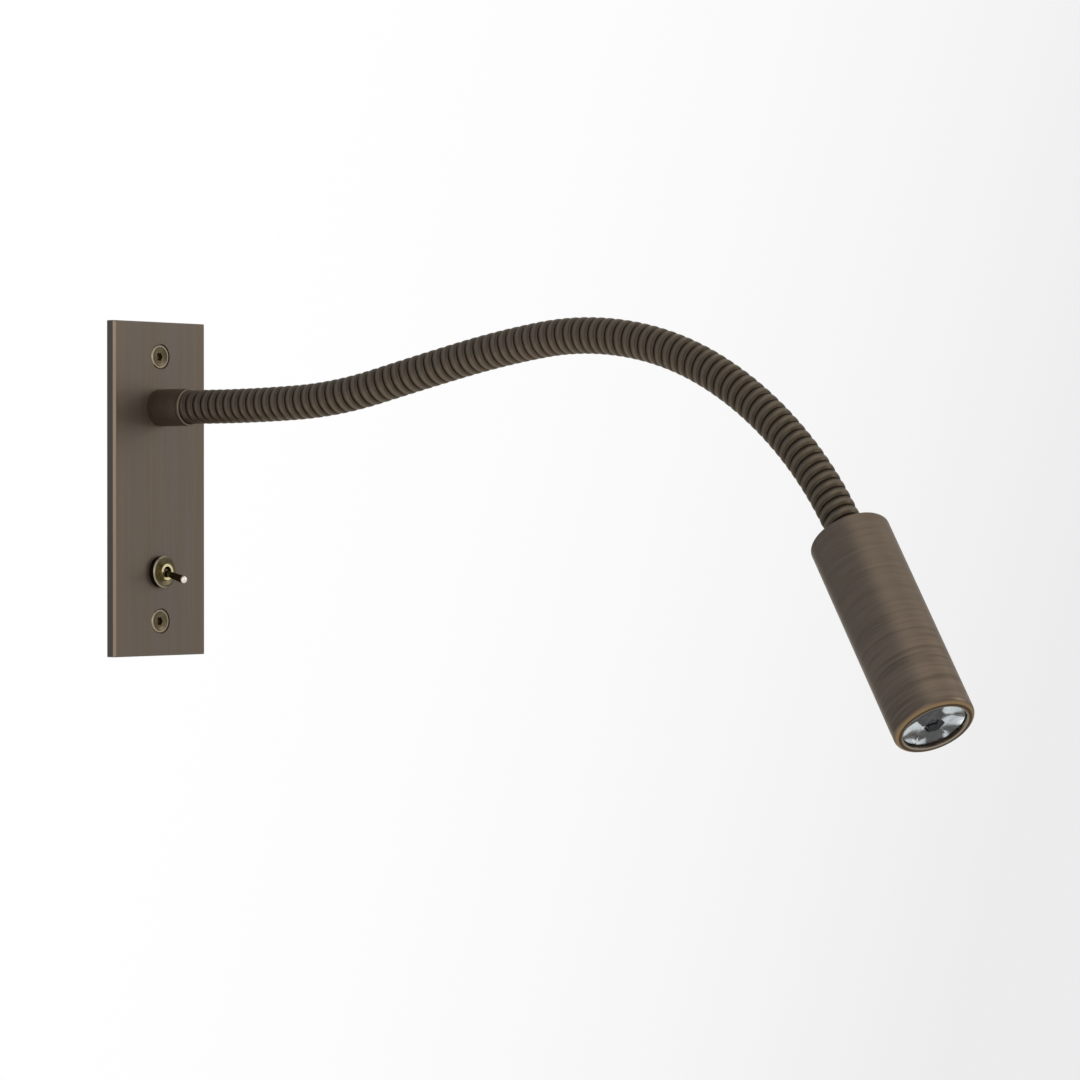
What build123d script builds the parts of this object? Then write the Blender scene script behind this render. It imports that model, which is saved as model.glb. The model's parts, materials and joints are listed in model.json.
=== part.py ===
from build123d import *
import os
from math import cos, degrees, hypot, pi, radians, sin, tan

# Bedside wall reading lamp: wall plate, toggle switch, gooseneck and a slim LED head.
# Millimetres. The wall is the plane y = 0, the lamp stands out from it toward -Y, and +Z is up.
# The origin is the centre of the plate's back face.

# ---------------------------------------------------------------- driving dimensions

# wall plate
plate_width = 50.0
plate_height = 130.0
plate_thickness = 4.0
plate_chamfer = 0.9
plate_corner = 0.4  # eased edges down the corners
recess_depth = 1.5  # shallow relief in the plate's back, where washers and pad sit
recess_width = 38.0
recess_height = 86.0
recess_corner = 4.0

# fixing screws
screw_spacing = 103.0
screw_head_radius = 4.6
screw_neck_radius = 2.2
screw_thread_radius = 2.5
screw_length = 26.0
screw_sink = 0.1  # how far the head's top lies under the plate's face
screw_rim_bevel = 0.3
screw_tip = 4.0
screw_socket_flats = 3.0
screw_socket_depth = 1.8
screw_dish_depth = 0.5
screw_dish_radius = 3.9  # inner edge of the head's flat rim
screw_dish_floor = 2.55  # radius of the dish's flat floor
screw_hole_radius = 2.75
screw_counterbore_radius = 5.05
screw_counterbore_depth = 0.6

# general clearances
fit = 0.05  # screwed, pressed and sliding pieces of one assembly, per side
gap = 0.3  # pieces that must stay apart
spare = 1.0  # how far a cutting shape runs on past what it cuts

# neck route: a straight lead-in, then one arc for each section, and a short one into the head
neck_height = 31.6
neck_length = 352.0  # along the neck, from the ferrule to the head
ferrule_length = 16.5
end_ribs = 4
section_ribs = 10
section_bends = (  # degrees each section of the neck turns up and sideways, as it is posed
    (2.5, 1.5),
    (11.0, 3.0),
    (-1.5, -2.5),
    (-5.5, -5.0),
    (-15.1, 0.3),
    (-15.4, -4.1),
    (-13.4, -2.1),
    (-10.1, -6.5),
)
end_bend = (-3.0, -1.4)  # the same for the last stretch, which runs into the head

# neck winding
crest_radius = 6.6
shoulder_radius = 6.4
groove_radius = 5.85
rib_flank = 0.5  # along the neck, from a groove to the rib's shoulder
neck_bore_radius = 3.8
joint_range = 20.0  # how far one joint of the neck bends each way
nose_radius = 5.0  # round nose of a section, seated in the next section
neck_insertion = 10.0  # winding inside the ferrule

# ferrule, nipple and nut at the wall end
ferrule_radius = 7.25
ferrule_ring_width = 1.2
ferrule_ring_step = 0.25
ferrule_edge = 0.4
nipple_radius = 5.0
nipple_bore = 2.5
nipple_back = 5.0  # how far it stands behind the wall plane
spigot_length = 8.0  # crimped inside the winding
washer_radius = 8.0
washer_thickness = 1.0
nipple_nut_flats = 14.0
nipple_nut_thickness = 3.0

# lead inside the neck
lead_radius = 2.1
core_radius = 0.7
core_spacing = 1.8
lead_run_out = 1.0  # straight stretch between the nipple and the bend
lead_bend_radius = 8.0
lead_drop = 5.0  # straight stretch of sheath below the bend, behind the plate
core_bend_radius = 1.0
core_lead_in = 1.6  # straight stretch of a core in front of the block, and below the sheath
way_entry = 3.0  # how far a bared end goes into its way
wire_bend_radius = 1.2
wire_lug_lap = 1.0  # wire beside its lug, below the eye
wire_run_up = 5.0  # straight stretch above the eye
wire_lead_in = 3.0  # straight stretch below the block

# terminal block
pad_thickness = 1.0
pad_margin = 1.0
block_width = 17.0
block_height = 16.0
block_depth = 11.0
block_edge_round = 0.8
block_ways = 3
way_pitch = 5.5
way_radius = 1.3
way_stand = 4.4  # middle of the ways, from the block's foot
insert_size = 3.6
insert_length = 12.0
clamp_screw_radius = 1.2
clamp_screw_spacing = 7.0
clamp_screw_recess = 1.5
clamp_hole_spare = 0.3  # hole over a clamp screw, per side
clamp_slot_depth = 0.7
slot_width = 0.5

# toggle switch
switch_height = -32.3
bushing_radius = 3.175
bushing_stand = 3.8  # bushing in front of the plate's face
dress_nut_radius = 6.2
dress_nut_thickness = 2.7
dress_nut_bevel = 0.5
dress_nut_dish = 0.35
key_washer_radius = 5.2
key_washer_thickness = 0.5
back_nut_flats = 8.0
back_nut_thickness = 2.0
case_width = 8.0
case_height = 13.0
case_depth = 9.5
case_wall = 1.0
frame_thickness = 0.8
terminal_width = 2.0
terminal_thickness = 0.8
terminal_length = 4.5
terminal_pitch = 4.7
terminal_eye_offset = 2.7  # eye of a lug, from the case's back
terminal_eye_radius = 0.5
lever_pivot_depth = 2.2  # pivot behind the bushing's front end
lever_ball_radius = 2.1
lever_root_radius = 1.05
lever_tip_radius = 1.5
lever_reach = 11.1  # pivot to the centre of the rounded tip
lever_stem_radius = 0.6
lever_stem_reach = 8.2
lever_throw = 30.0
rocker_length = 9.0
rocker_width = 3.0
rocker_thickness = 0.6
rocker_throw = 16.0
rocker_gap = 0.5
rocker_pin_radius = 0.6

# head
head_length = 80.0
head_radius = 14.0
head_wall = 1.5
head_front_round = 1.8
head_back_round = 0.4
lip_thickness = 1.2
aperture_radius = 11.1
aperture_bevel = 0.3
cap_recess = 0.8
cap_thickness = 5.0
cap_bevel = 0.4
fitting_radius = 4.0
head_nut_flats = 12.0
head_nut_thickness = 3.5
head_washer_radius = 7.0
fitting_stand = 1.0  # thread in front of the nut
sheath_in_head = 16.0  # where the lead's sheath ends, from the head's back
ring_thickness = 1.0
ring_radial = 2.2
ring_groove = 0.5
ring_opening = 8.0
sink_length = 18.0
sink_base = 4.0
sink_fins = 7
sink_slot = 1.9
core_hole_radius = 1.1
core_hole_offset = 6.5
core_straight = 5.0  # straight stretch of a core in front of the sheath
core_rear_straight = 6.0  # straight stretch behind the heat sink
core_sweep_radius = 3.0
thermal_pad_thickness = 0.5
board_radius = 10.0
board_thickness = 1.6
board_screw_offset = 7.6
board_screw_radius = 1.25
board_screw_head = 2.2
board_screw_head_height = 1.6
board_screw_length = 6.0
board_slot_depth = 0.6
emitter_size = 3.5
emitter_height = 0.8
emitter_dome = 1.4
solder_radius = 1.3
solder_height = 0.6
lens_stand = 1.1  # from the board's face to the lens's rear edge
lens_depth = 12.4  # collimating part, behind the flange
lens_flange = 1.4
lens_front_radius = 10.9
lens_rear_radius = 4.0
lens_well_radius = 2.6
lens_well_depth = 6.0
lens_well_crown = 0.9  # how far the well's floor bulges toward the emitter
lens_wall_bow = 1.1
holder_wall = 0.9

# ---------------------------------------------------------------- sizes that follow

plate_front = -plate_thickness
recess_floor = -recess_depth
screw_offset = screw_spacing / 2
ferrule_front = plate_front - ferrule_length
rib_pitch = neck_length / (2 * end_ribs + section_ribs * len(section_bends))
section_length = section_ribs * rib_pitch
end_length = end_ribs * rib_pitch
head_inner_radius = head_radius - head_wall
lens_front = head_length - lip_thickness
lens_rear = lens_front - lens_flange - lens_depth
board_front = lens_rear - lens_stand
board_back = board_front - board_thickness
sink_front = board_back - thermal_pad_thickness
sink_back = sink_front - sink_length
fitting_front = cap_recess + cap_thickness + washer_thickness + head_nut_thickness + fitting_stand
case_front = recess_floor + key_washer_thickness + back_nut_thickness + frame_thickness
case_back = case_front + case_depth
bushing_front = plate_front - bushing_stand
lever_pivot = bushing_front + lever_pivot_depth
rocker_rest = lever_pivot + lever_stem_reach + lever_stem_radius + rocker_gap
pad_back = recess_floor + pad_thickness
block_back = pad_back + block_depth
way_depth = pad_back + way_stand
lead_depth = nipple_back + lead_run_out + lead_bend_radius
lead_foot = neck_height - lead_bend_radius - lead_drop
socket_radius = nose_radius + fit
lean = tan(radians(joint_range / 2))  # slope of a section's end faces

os.makedirs("parts", exist_ok=True)


def save(name, shape):
    """Write one node and print what it holds."""
    solids = shape.solids()
    node = Compound(children=list(solids)) if len(solids) > 1 else solids[0]
    export_step(node, "parts/" + name + ".step")
    print(name, len(solids), "solid(s)", round(sum(s.volume for s in solids), 1), "mm3")


def out(x, y, z):
    """Plane that looks out of the wall along -Y, with X to the side."""
    return Plane(origin=(x, y, z), x_dir=(1, 0, 0), z_dir=(0, -1, 0))


def back(x, y, z):
    """Plane that looks into the wall along +Y, with X to the side."""
    return Plane(origin=(x, y, z), x_dir=(1, 0, 0), z_dir=(0, 1, 0))


def rod(plane, radius, length):
    """Round bar that starts on a plane and runs along its normal."""
    return extrude(plane * Circle(radius), length)


def tube(plane, outer, inner, length):
    return extrude(plane * (Circle(outer) - Circle(inner)), length)


def bar(plane, width, height, length):
    return extrude(plane * Rectangle(width, height), length)


def hexagon(plane, flats, length):
    return extrude(plane * RegularPolygon(flats / 2, 6, major_radius=False), length)


def turned(plane, points):
    """Solid of revolution about a plane's normal, from (radius, distance) points."""
    profile = Plane.XZ * make_face(Polyline([(r, d) for r, d in points], close=True))
    return plane.location * revolve(profile, Axis.Z)


# ---------------------------------------------------------------- neck route


class Frame:
    """A place on the neck's centre line: point, direction, side and up."""

    def __init__(self, point, ahead, side):
        self.point = point
        self.ahead = ahead
        self.side = side
        self.up = side.cross(ahead) * -1

    def plane(self, distance=0.0):
        return Plane(
            origin=self.point + self.ahead * distance, x_dir=self.side, z_dir=self.ahead
        )

    def straight(self, distance):
        return Frame(self.point + self.ahead * distance, self.ahead, self.side)

    def bent(self, lift, swing, length, distance):
        """Frame after a distance along an arc that turns by lift and swing over its length."""
        turn = radians(hypot(lift, swing))
        if turn == 0:
            return self.straight(distance)
        toward = (self.up * lift + self.side * swing) * (1 / hypot(lift, swing))
        radius = length / turn
        part = turn * distance / length
        point = self.point + (self.ahead * sin(part) + toward * (1 - cos(part))) * radius
        axle = Axis((0, 0, 0), self.ahead.cross(toward))
        return Frame(
            point,
            self.ahead.rotate(axle, degrees(part)),
            self.side.rotate(axle, degrees(part)),
        )


neck_start = Frame(Vector(0, ferrule_front, neck_height), Vector(0, -1, 0), Vector(1, 0, 0))
joints = [neck_start.straight(end_length)]
for lift, swing in section_bends:
    joints.append(joints[-1].bent(lift, swing, section_length, section_length))
neck_end = joints[-1].bent(*end_bend, end_length, end_length)
head_back = neck_end
neck_sections = len(section_bends) + 2


def station(section, distance):
    """Frame on one section's centre line, at a distance from the section's start."""
    if section == 0:
        return neck_start.straight(distance)
    if section == neck_sections - 1:
        return joints[-1].bent(*end_bend, end_length, distance)
    lift, swing = section_bends[section - 1]
    return joints[section - 1].bent(lift, swing, section_length, distance)


def ribbed(section, ribs):
    """Ribs as a ruled loft through four circles each: groove, shoulder, crest, shoulder."""
    rib = (
        (0, groove_radius),
        (rib_flank, shoulder_radius),
        (rib_pitch / 2, crest_radius),
        (rib_pitch - rib_flank, shoulder_radius),
    )
    rings = []
    for number in range(ribs):
        for distance, radius in rib:
            place = station(section, number * rib_pitch + distance)
            rings.append(place.plane() * Circle(radius))
    rings.append(station(section, ribs * rib_pitch).plane() * Circle(groove_radius))
    return loft(rings, ruled=True)


def bore(section, start, stop):
    """Round passage along a section, run on past both of its ends."""
    steps = round((stop - start) / rib_pitch)
    places = [station(section, start + (stop - start) * i / steps) for i in range(steps + 1)]
    places.insert(0, places[0].straight(-nose_radius - spare))
    places.append(places[-1].straight(nose_radius + spare))
    return loft([place.plane() * Circle(neck_bore_radius) for place in places], ruled=True)


def nosed_end(body, joint):
    """Lean the outer end away from the joint and give it the round nose."""
    reach = crest_radius + 2 * spare
    near = gap / 2
    cutter = turned(
        joint.plane(), [(0, -near), (reach, -near - reach * lean), (reach, reach), (0, reach)]
    )
    return body - cutter + Pos(joint.point) * Sphere(nose_radius)


def seated_end(body, joint):
    """Lean the inner end away from the joint and give it the round seat."""
    reach = crest_radius + 2 * spare
    near = gap / 2
    cutter = turned(
        joint.plane(), [(0, near), (reach, near + reach * lean), (reach, -reach), (0, -reach)]
    )
    return body - cutter - Pos(joint.point) * Sphere(socket_radius)


def neck_section(section):
    """One section of the winding, from one joint to the next."""
    if section == 0:
        inside = neck_insertion
        body = ribbed(section, end_ribs)
        root = ferrule_front + inside
        body += rod(out(0, root, neck_height), groove_radius, inside)
        body = nosed_end(body, joints[0])
        return body - bore(section, -inside, end_length)
    if section == neck_sections - 1:
        body = ribbed(section, end_ribs)
        body += rod(neck_end.plane(), groove_radius, cap_recess)
        body = seated_end(body, joints[-1])
        return body - bore(section, 0, end_length + cap_recess)
    body = ribbed(section, section_ribs)
    body = nosed_end(body, joints[section])
    body = seated_end(body, joints[section - 1])
    return body - bore(section, 0, section_length)


# ---------------------------------------------------------------- wall plate and its fixings


def back_plate():
    """Plate with bevelled front edges, a relief in its back, and its four holes."""
    plate = bar(back(0, plate_front, 0), plate_width, plate_height, plate_thickness)
    plate = chamfer(plate.faces().sort_by(Axis.Y)[0].edges(), plate_chamfer)
    plate = fillet(plate.edges().filter_by(Axis.Y), plate_corner)
    relief = back(0, recess_floor, 0) * RectangleRounded(
        recess_width, recess_height, recess_corner
    )
    plate -= extrude(relief, recess_depth)
    plate -= rod(back(0, plate_front, neck_height), nipple_radius + fit, plate_thickness)
    plate -= rod(back(0, plate_front, switch_height), bushing_radius + fit, plate_thickness)
    for side in (1, -1):
        plate -= turned(back(0, plate_front, side * screw_offset), screw_seat())
    return plate


def screw_seat():
    """Screw hole: a short counterbore, a 90 degree seat, then the clearance hole."""
    wide = screw_counterbore_radius
    shelf = screw_counterbore_depth
    seat = shelf + (screw_head_radius - screw_hole_radius)
    return [
        (0, -spare),
        (wide, -spare),
        (wide, shelf),
        (screw_head_radius, shelf),
        (screw_hole_radius, seat),
        (screw_hole_radius, plate_thickness + spare),
        (0, plate_thickness + spare),
    ]


def fixing_screw(z):
    """Countersunk screw with a bevelled rim, a dished top and a hex socket."""
    face = back(0, plate_front + screw_sink, z)
    rim = screw_counterbore_depth - screw_sink
    cone = rim + screw_head_radius - screw_neck_radius
    thread_start = plate_thickness - screw_sink + fit
    screw = turned(
        face,
        [
            (0, screw_dish_depth),
            (screw_dish_floor, screw_dish_depth),
            (screw_dish_radius, 0),
            (screw_head_radius - screw_rim_bevel, 0),
            (screw_head_radius, screw_rim_bevel),
            (screw_head_radius, rim),
            (screw_neck_radius, cone),
            (screw_neck_radius, thread_start),
            (screw_thread_radius, thread_start),
            (screw_thread_radius, screw_length - screw_tip),
            (0, screw_length),
        ],
    )
    return screw - hexagon(face, screw_socket_flats, screw_socket_depth)


# ---------------------------------------------------------------- neck root


def neck_ferrule():
    """Dark sleeve with a fine stepped ring at its front."""
    sleeve = rod(out(0, plate_front, neck_height), ferrule_radius, ferrule_length)
    sleeve = chamfer(sleeve.faces().sort_by(Axis.Y)[0].edges(), ferrule_edge)
    step = tube(
        out(0, ferrule_front + ferrule_ring_width + ferrule_edge, neck_height),
        ferrule_radius + spare,
        ferrule_radius - ferrule_ring_step,
        ferrule_ring_step,
    )
    sleeve -= step
    socket = out(0, ferrule_front + neck_insertion, neck_height)
    sleeve -= rod(socket, crest_radius + fit, neck_insertion)
    return sleeve - rod(out(0, plate_front, neck_height), nipple_radius + fit, ferrule_length)


def neck_nipple():
    """Hollow threaded fitting: a spigot inside the winding, then the thread through the plate."""
    shoulder = ferrule_front + neck_insertion
    fitting = rod(back(0, shoulder, neck_height), nipple_radius, nipple_back - shoulder)
    fitting += rod(out(0, shoulder, neck_height), neck_bore_radius - fit, spigot_length)
    passage = back(0, shoulder - spigot_length, neck_height)
    return fitting - rod(passage, nipple_bore, spigot_length + nipple_back - shoulder)


def nipple_washer():
    seat = back(0, recess_floor, neck_height)
    return tube(seat, washer_radius, nipple_radius + fit, washer_thickness)


def nipple_nut():
    seat = back(0, recess_floor + washer_thickness, neck_height)
    nut = hexagon(seat, nipple_nut_flats, nipple_nut_thickness)
    return nut - rod(seat, nipple_radius + fit, nipple_nut_thickness)


# ---------------------------------------------------------------- lead


def neck_lead():
    """One sheathed cable, from behind the plate, through the whole neck, into the head."""
    foot = Vector(0, lead_depth, lead_foot)
    bend_middle = Vector(0, lead_depth - lead_bend_radius, neck_height - lead_bend_radius)
    half = lead_bend_radius * sin(radians(45))
    bend_start = bend_middle + Vector(0, lead_bend_radius, 0)
    middle = bend_middle + Vector(0, half, half)
    bend_stop = bend_middle + Vector(0, 0, lead_bend_radius)
    edges = [
        Line(foot, bend_start),
        ThreePointArc(bend_start, middle, bend_stop),
        Line(bend_stop, joints[0].point),
    ]
    for start, (lift, swing) in zip(joints, section_bends):
        halfway = start.bent(lift, swing, section_length, section_length / 2)
        stop = start.bent(lift, swing, section_length, section_length)
        edges.append(ThreePointArc(start.point, halfway.point, stop.point))
    halfway = joints[-1].bent(*end_bend, end_length, end_length / 2)
    edges.append(ThreePointArc(joints[-1].point, halfway.point, neck_end.point))
    edges.append(Line(head_back.point, head_back.straight(sheath_in_head).point))
    path = Wire(edges)
    lead = sweep(Plane(origin=foot, z_dir=(0, 0, 1)) * Circle(lead_radius), path=path)
    expected = pi * lead_radius**2 * path.length
    print("lead length", round(path.length, 1), "volume ratio", round(lead.volume / expected, 4))
    return lead


def strand(points, radii, radius):
    """Thin core along straight runs joined by arcs."""
    path = FilletPolyline(*points, radius=radii)
    start = Plane(origin=path @ 0, z_dir=path % 0)
    return sweep(start * Circle(radius), path=path)


def way_offsets():
    return [(i - (block_ways - 1) / 2) * way_pitch for i in range(block_ways)]


def lead_tails():
    """Two cores from the sheath's foot into two ways of the block."""
    top = block_height / 2
    tails = []
    for side, x in ((-1, way_offsets()[0]), (1, way_offsets()[-1])):
        start = side * core_spacing / 2
        points = [
            (start, lead_depth, lead_foot),
            (start, lead_depth, lead_foot - core_lead_in),
            (x, way_depth, top + core_lead_in),
            (x, way_depth, top - way_entry),
        ]
        tails.append(strand(points, core_bend_radius, core_radius))
    return Compound(children=tails)


# ---------------------------------------------------------------- terminal block


def block_pad():
    return bar(
        back(0, recess_floor, 0),
        block_width - 2 * pad_margin,
        block_height - 2 * pad_margin,
        pad_thickness,
    )


def way_bore(x, z_from, length, radius):
    start = Plane(origin=(x, way_depth, z_from), z_dir=(0, 0, 1))
    return extrude(start * Circle(radius), length)


def clamp_places():
    half = clamp_screw_spacing / 2
    return [(x, z) for x in way_offsets() for z in (-half, half)]


def terminal_block():
    """Moulded body with a wire way through each pole and a hole over each clamp screw."""
    body = bar(back(0, pad_back, 0), block_width, block_height, block_depth)
    body = fillet(body.edges().filter_by(Axis.Y), block_edge_round)
    for x in way_offsets():
        body -= way_bore(x, -block_height / 2, block_height, way_radius)
        body -= insert_block(x, fit)
    for x, z in clamp_places():
        hole = clamp_screw_radius + clamp_hole_spare
        body -= rod(back(x, way_depth, z), hole, block_depth)
    return body


def insert_block(x, spare):
    seat = Plane(origin=(x, way_depth, -insert_length / 2 - spare), z_dir=(0, 0, 1))
    size = insert_size + 2 * spare
    return bar(seat, size, size, insert_length + 2 * spare)


def terminal_inserts():
    """Brass clamp blocks, one in each pole."""
    inserts = []
    for x in way_offsets():
        insert = insert_block(x, 0)
        insert -= way_bore(x, -insert_length / 2, insert_length, way_radius)
        for z in (-clamp_screw_spacing / 2, clamp_screw_spacing / 2):
            insert -= rod(back(x, way_depth, z), clamp_screw_radius + fit, insert_size)
        inserts.append(insert)
    return Compound(children=inserts)


def terminal_screws():
    """Slotted clamp screws, two to a pole."""
    screws = []
    start = way_depth + core_radius + fit
    length = block_back - clamp_screw_recess - start
    for x, z in clamp_places():
        screw = rod(back(x, start, z), clamp_screw_radius, length)
        slot = back(x, start + length - clamp_slot_depth, z)
        slot_length = 2 * (clamp_screw_radius + spare)
        screw -= bar(slot, slot_width, slot_length, clamp_slot_depth + spare)
        screws.append(screw)
    return Compound(children=screws)


# ---------------------------------------------------------------- toggle switch


def stem_reach_at(depth):
    """Radius that the tipped stem needs, at a depth behind the lever's pivot."""
    half = radians(lever_throw / 2)
    return depth * tan(half) + lever_stem_radius / cos(half) + gap


def switch_bushing():
    """Threaded bushing on the switch's metal frame: a ball seat, then a flare for the stem."""
    length = case_front - frame_thickness - bushing_front
    body = rod(back(0, bushing_front, switch_height), bushing_radius, length)
    frame = back(0, case_front - frame_thickness, switch_height)
    body += bar(frame, case_width, case_height, frame_thickness)
    seat = lever_ball_radius + fit
    flare = lever_pivot_depth + lever_ball_radius / 2
    deep = length + frame_thickness + gap
    passage = [
        (0, -gap),
        (seat, -gap),
        (seat, flare),
        (stem_reach_at(deep - lever_pivot_depth), deep),
        (0, deep),
    ]
    return body - turned(back(0, bushing_front, switch_height), passage)


def switch_dress_nut():
    """Round bezel nut with a bevelled rim and a shallow dished face."""
    seat = out(0, plate_front, switch_height)
    bore_radius = bushing_radius + fit
    thick = dress_nut_thickness
    return turned(
        seat,
        [
            (bore_radius, 0),
            (dress_nut_radius, 0),
            (dress_nut_radius, thick - dress_nut_bevel),
            (dress_nut_radius - dress_nut_bevel, thick),
            (dress_nut_radius - 2 * dress_nut_bevel, thick),
            (bore_radius + dress_nut_bevel, thick - dress_nut_dish),
            (bore_radius, thick - dress_nut_dish),
        ],
    )


def switch_key_washer():
    seat = back(0, recess_floor, switch_height)
    return tube(seat, key_washer_radius, bushing_radius + fit, key_washer_thickness)


def switch_back_nut():
    seat = back(0, recess_floor + key_washer_thickness, switch_height)
    nut = hexagon(seat, back_nut_flats, back_nut_thickness)
    return nut - rod(seat, bushing_radius + fit, back_nut_thickness)


def terminal_offsets():
    return (-terminal_pitch, 0, terminal_pitch)


def switch_case():
    """Moulded case, open toward the bushing, with a slot for each terminal."""
    front = back(0, case_front, switch_height)
    case = bar(front, case_width, case_height, case_depth)
    inner = case_wall * 2
    case -= bar(front, case_width - inner, case_height - inner, case_depth - case_wall)
    for z in terminal_offsets():
        slot = back(0, case_back - case_wall, switch_height + z)
        case -= bar(slot, terminal_width + 2 * fit, terminal_thickness + 2 * fit, case_wall)
    return case


def rocker_pivot():
    """Y of the rocking contact's middle."""
    return rocker_rest + rocker_thickness / 2


def switch_terminals():
    """Three lugs through the case's floor: one under each end of the rocker, one at its pin."""
    lugs = []
    tipped = radians(rocker_throw / 2)
    drop = rocker_length / 2 * sin(tipped) + rocker_thickness / 2 * cos(tipped)
    below_pin = rocker_thickness / 2 + rocker_pin_radius + fit
    heads = (rocker_pivot() + drop + fit, rocker_pivot() + below_pin, rocker_pivot() + drop + fit)
    for z, head in zip(terminal_offsets(), heads):
        length = case_back + terminal_length - head
        lug = bar(
            back(0, head, switch_height + z), terminal_width, terminal_thickness, length
        )
        eye = Plane(
            origin=(0, case_back + terminal_eye_offset, switch_height + z - spare),
            z_dir=(0, 0, 1),
        )
        lug -= extrude(eye * Circle(terminal_eye_radius), 2 * spare)
        lugs.append(lug)
    return Compound(children=lugs)


def switch_rocker():
    """Contact seesaw, tipped by half its throw."""
    plate = Box(rocker_width, rocker_thickness, rocker_length)
    knife = Pos(0, rocker_thickness / 2, 0) * Cylinder(
        rocker_pin_radius, rocker_width, rotation=(0, 90, 0)
    )
    tipped = Rot(-rocker_throw / 2, 0, 0) * (plate + knife)
    return Pos(0, rocker_pivot(), switch_height) * tipped


def lever_frame():
    """Plane at the lever's pivot that looks along the lever, tipped down by half its throw."""
    half = radians(lever_throw / 2)
    return Plane(
        origin=(0, lever_pivot, switch_height), x_dir=(1, 0, 0), z_dir=(0, -cos(half), -sin(half))
    )


def switch_lever():
    """Bat lever with a ball in the bushing and a stem that reaches the contact."""
    along = lever_frame()
    bat = turned(
        along,
        [(0, 0), (lever_root_radius, 0), (lever_tip_radius, lever_reach), (0, lever_reach)],
    )
    bat += Pos(along.origin) * Sphere(lever_ball_radius)
    bat += Pos(along.origin + along.z_dir * lever_reach) * Sphere(lever_tip_radius)
    inward = Plane(origin=along.origin, x_dir=(1, 0, 0), z_dir=along.z_dir * -1)
    bat += rod(inward, lever_stem_radius, lever_stem_reach)
    return bat + Pos(inward.origin + inward.z_dir * lever_stem_reach) * Sphere(
        lever_stem_radius
    )


def switch_wires():
    """Two insulated wires from the switch's lugs up to the block's lower entries."""
    wires = []
    depth = case_back + terminal_eye_offset
    side = -terminal_width / 2 - core_radius - fit
    foot = -block_height / 2
    for x, z in ((way_offsets()[0], 0), (way_offsets()[1], terminal_pitch)):
        lug = switch_height + z
        points = [
            (side, depth, lug - wire_lug_lap),
            (side, depth, lug + wire_run_up),
            (x, way_depth, foot - wire_lead_in),
            (x, way_depth, foot + way_entry),
        ]
        wires.append(strand(points, wire_bend_radius, core_radius))
    return Compound(children=wires)


# ---------------------------------------------------------------- head


def head(distance):
    """Plane across the head, at a distance in front of its back edge."""
    return head_back.plane(distance)


def outer_rim(shell, distance):
    """The circle of the shell's outer radius that lies at a distance along the head."""
    middle = head(distance).origin
    return min(
        shell.edges().filter_by(GeomType.CIRCLE),
        key=lambda rim: (rim.arc_center - middle).length + abs(rim.radius - head_radius),
    )


def head_shell():
    """Tube with a rounded front lip and a groove for the retaining ring."""
    inner = head_inner_radius
    shell = turned(
        head(0),
        [
            (inner, 0),
            (head_radius, 0),
            (head_radius, head_length),
            (aperture_radius + aperture_bevel, head_length),
            (aperture_radius, head_length - aperture_bevel),
            (aperture_radius, lens_front),
            (inner, lens_front),
        ],
    )
    shell = fillet(outer_rim(shell, head_length), head_front_round)
    shell = fillet(outer_rim(shell, 0), head_back_round)
    groove = head(sink_back - ring_thickness - fit)
    return shell - tube(groove, inner + ring_groove, inner - spare, ring_thickness + fit)


def head_cap():
    """Disc pressed into the tube's back, with the hole for the neck's fitting."""
    return turned(
        head(cap_recess),
        [
            (fitting_radius + fit, 0),
            (head_inner_radius - fit - cap_bevel, 0),
            (head_inner_radius - fit, cap_bevel),
            (head_inner_radius - fit, cap_thickness),
            (fitting_radius + fit, cap_thickness),
        ],
    )


def head_fitting():
    """Hollow threaded fitting: a spigot inside the winding, then the thread through the cap."""
    fitting = rod(head(cap_recess), fitting_radius, fitting_front - cap_recess)
    fitting += rod(head(cap_recess - spigot_length), neck_bore_radius - fit, spigot_length)
    passage = head(cap_recess - spigot_length)
    return fitting - rod(passage, nipple_bore, spigot_length + fitting_front)


def head_washer():
    seat = head(cap_recess + cap_thickness)
    return tube(seat, head_washer_radius, fitting_radius + fit, washer_thickness)


def head_nut():
    seat = head(cap_recess + cap_thickness + washer_thickness)
    nut = hexagon(seat, head_nut_flats, head_nut_thickness)
    return nut - rod(seat, fitting_radius + fit, head_nut_thickness)


def retaining_ring():
    """Open spring ring in the shell's groove, behind the heat sink."""
    outer = head_inner_radius + ring_groove - fit
    seat = head(sink_back - ring_thickness)
    ring = tube(seat, outer, outer - ring_radial, ring_thickness)
    opening = Plane(
        origin=seat.origin + seat.y_dir * outer, x_dir=seat.x_dir, z_dir=seat.z_dir
    )
    return ring - bar(opening, ring_opening, 4 * ring_radial, ring_thickness)


def heat_sink():
    """Round slug: a solid face for the board and straight fins behind it."""
    sink = rod(head(sink_back), head_inner_radius - fit, sink_length)
    pitch = 2 * (head_inner_radius - fit) / sink_fins
    fin_length = sink_length - sink_base
    for i in range(1, sink_fins):
        x = i * pitch - (head_inner_radius - fit)
        slot = head(sink_back) * Pos(x, 0) * Rectangle(sink_slot, 2 * head_radius)
        sink -= extrude(slot, fin_length)
    for side in (1, -1):
        hole = head(sink_back) * Pos(side * core_hole_offset, 0) * Circle(core_hole_radius)
        sink -= extrude(hole, sink_length)
        screw = head(sink_front - board_screw_length + board_thickness)
        place = screw * Pos(0, side * board_screw_offset) * Circle(board_screw_radius + fit)
        sink -= extrude(place, board_screw_length)
    return sink


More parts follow.
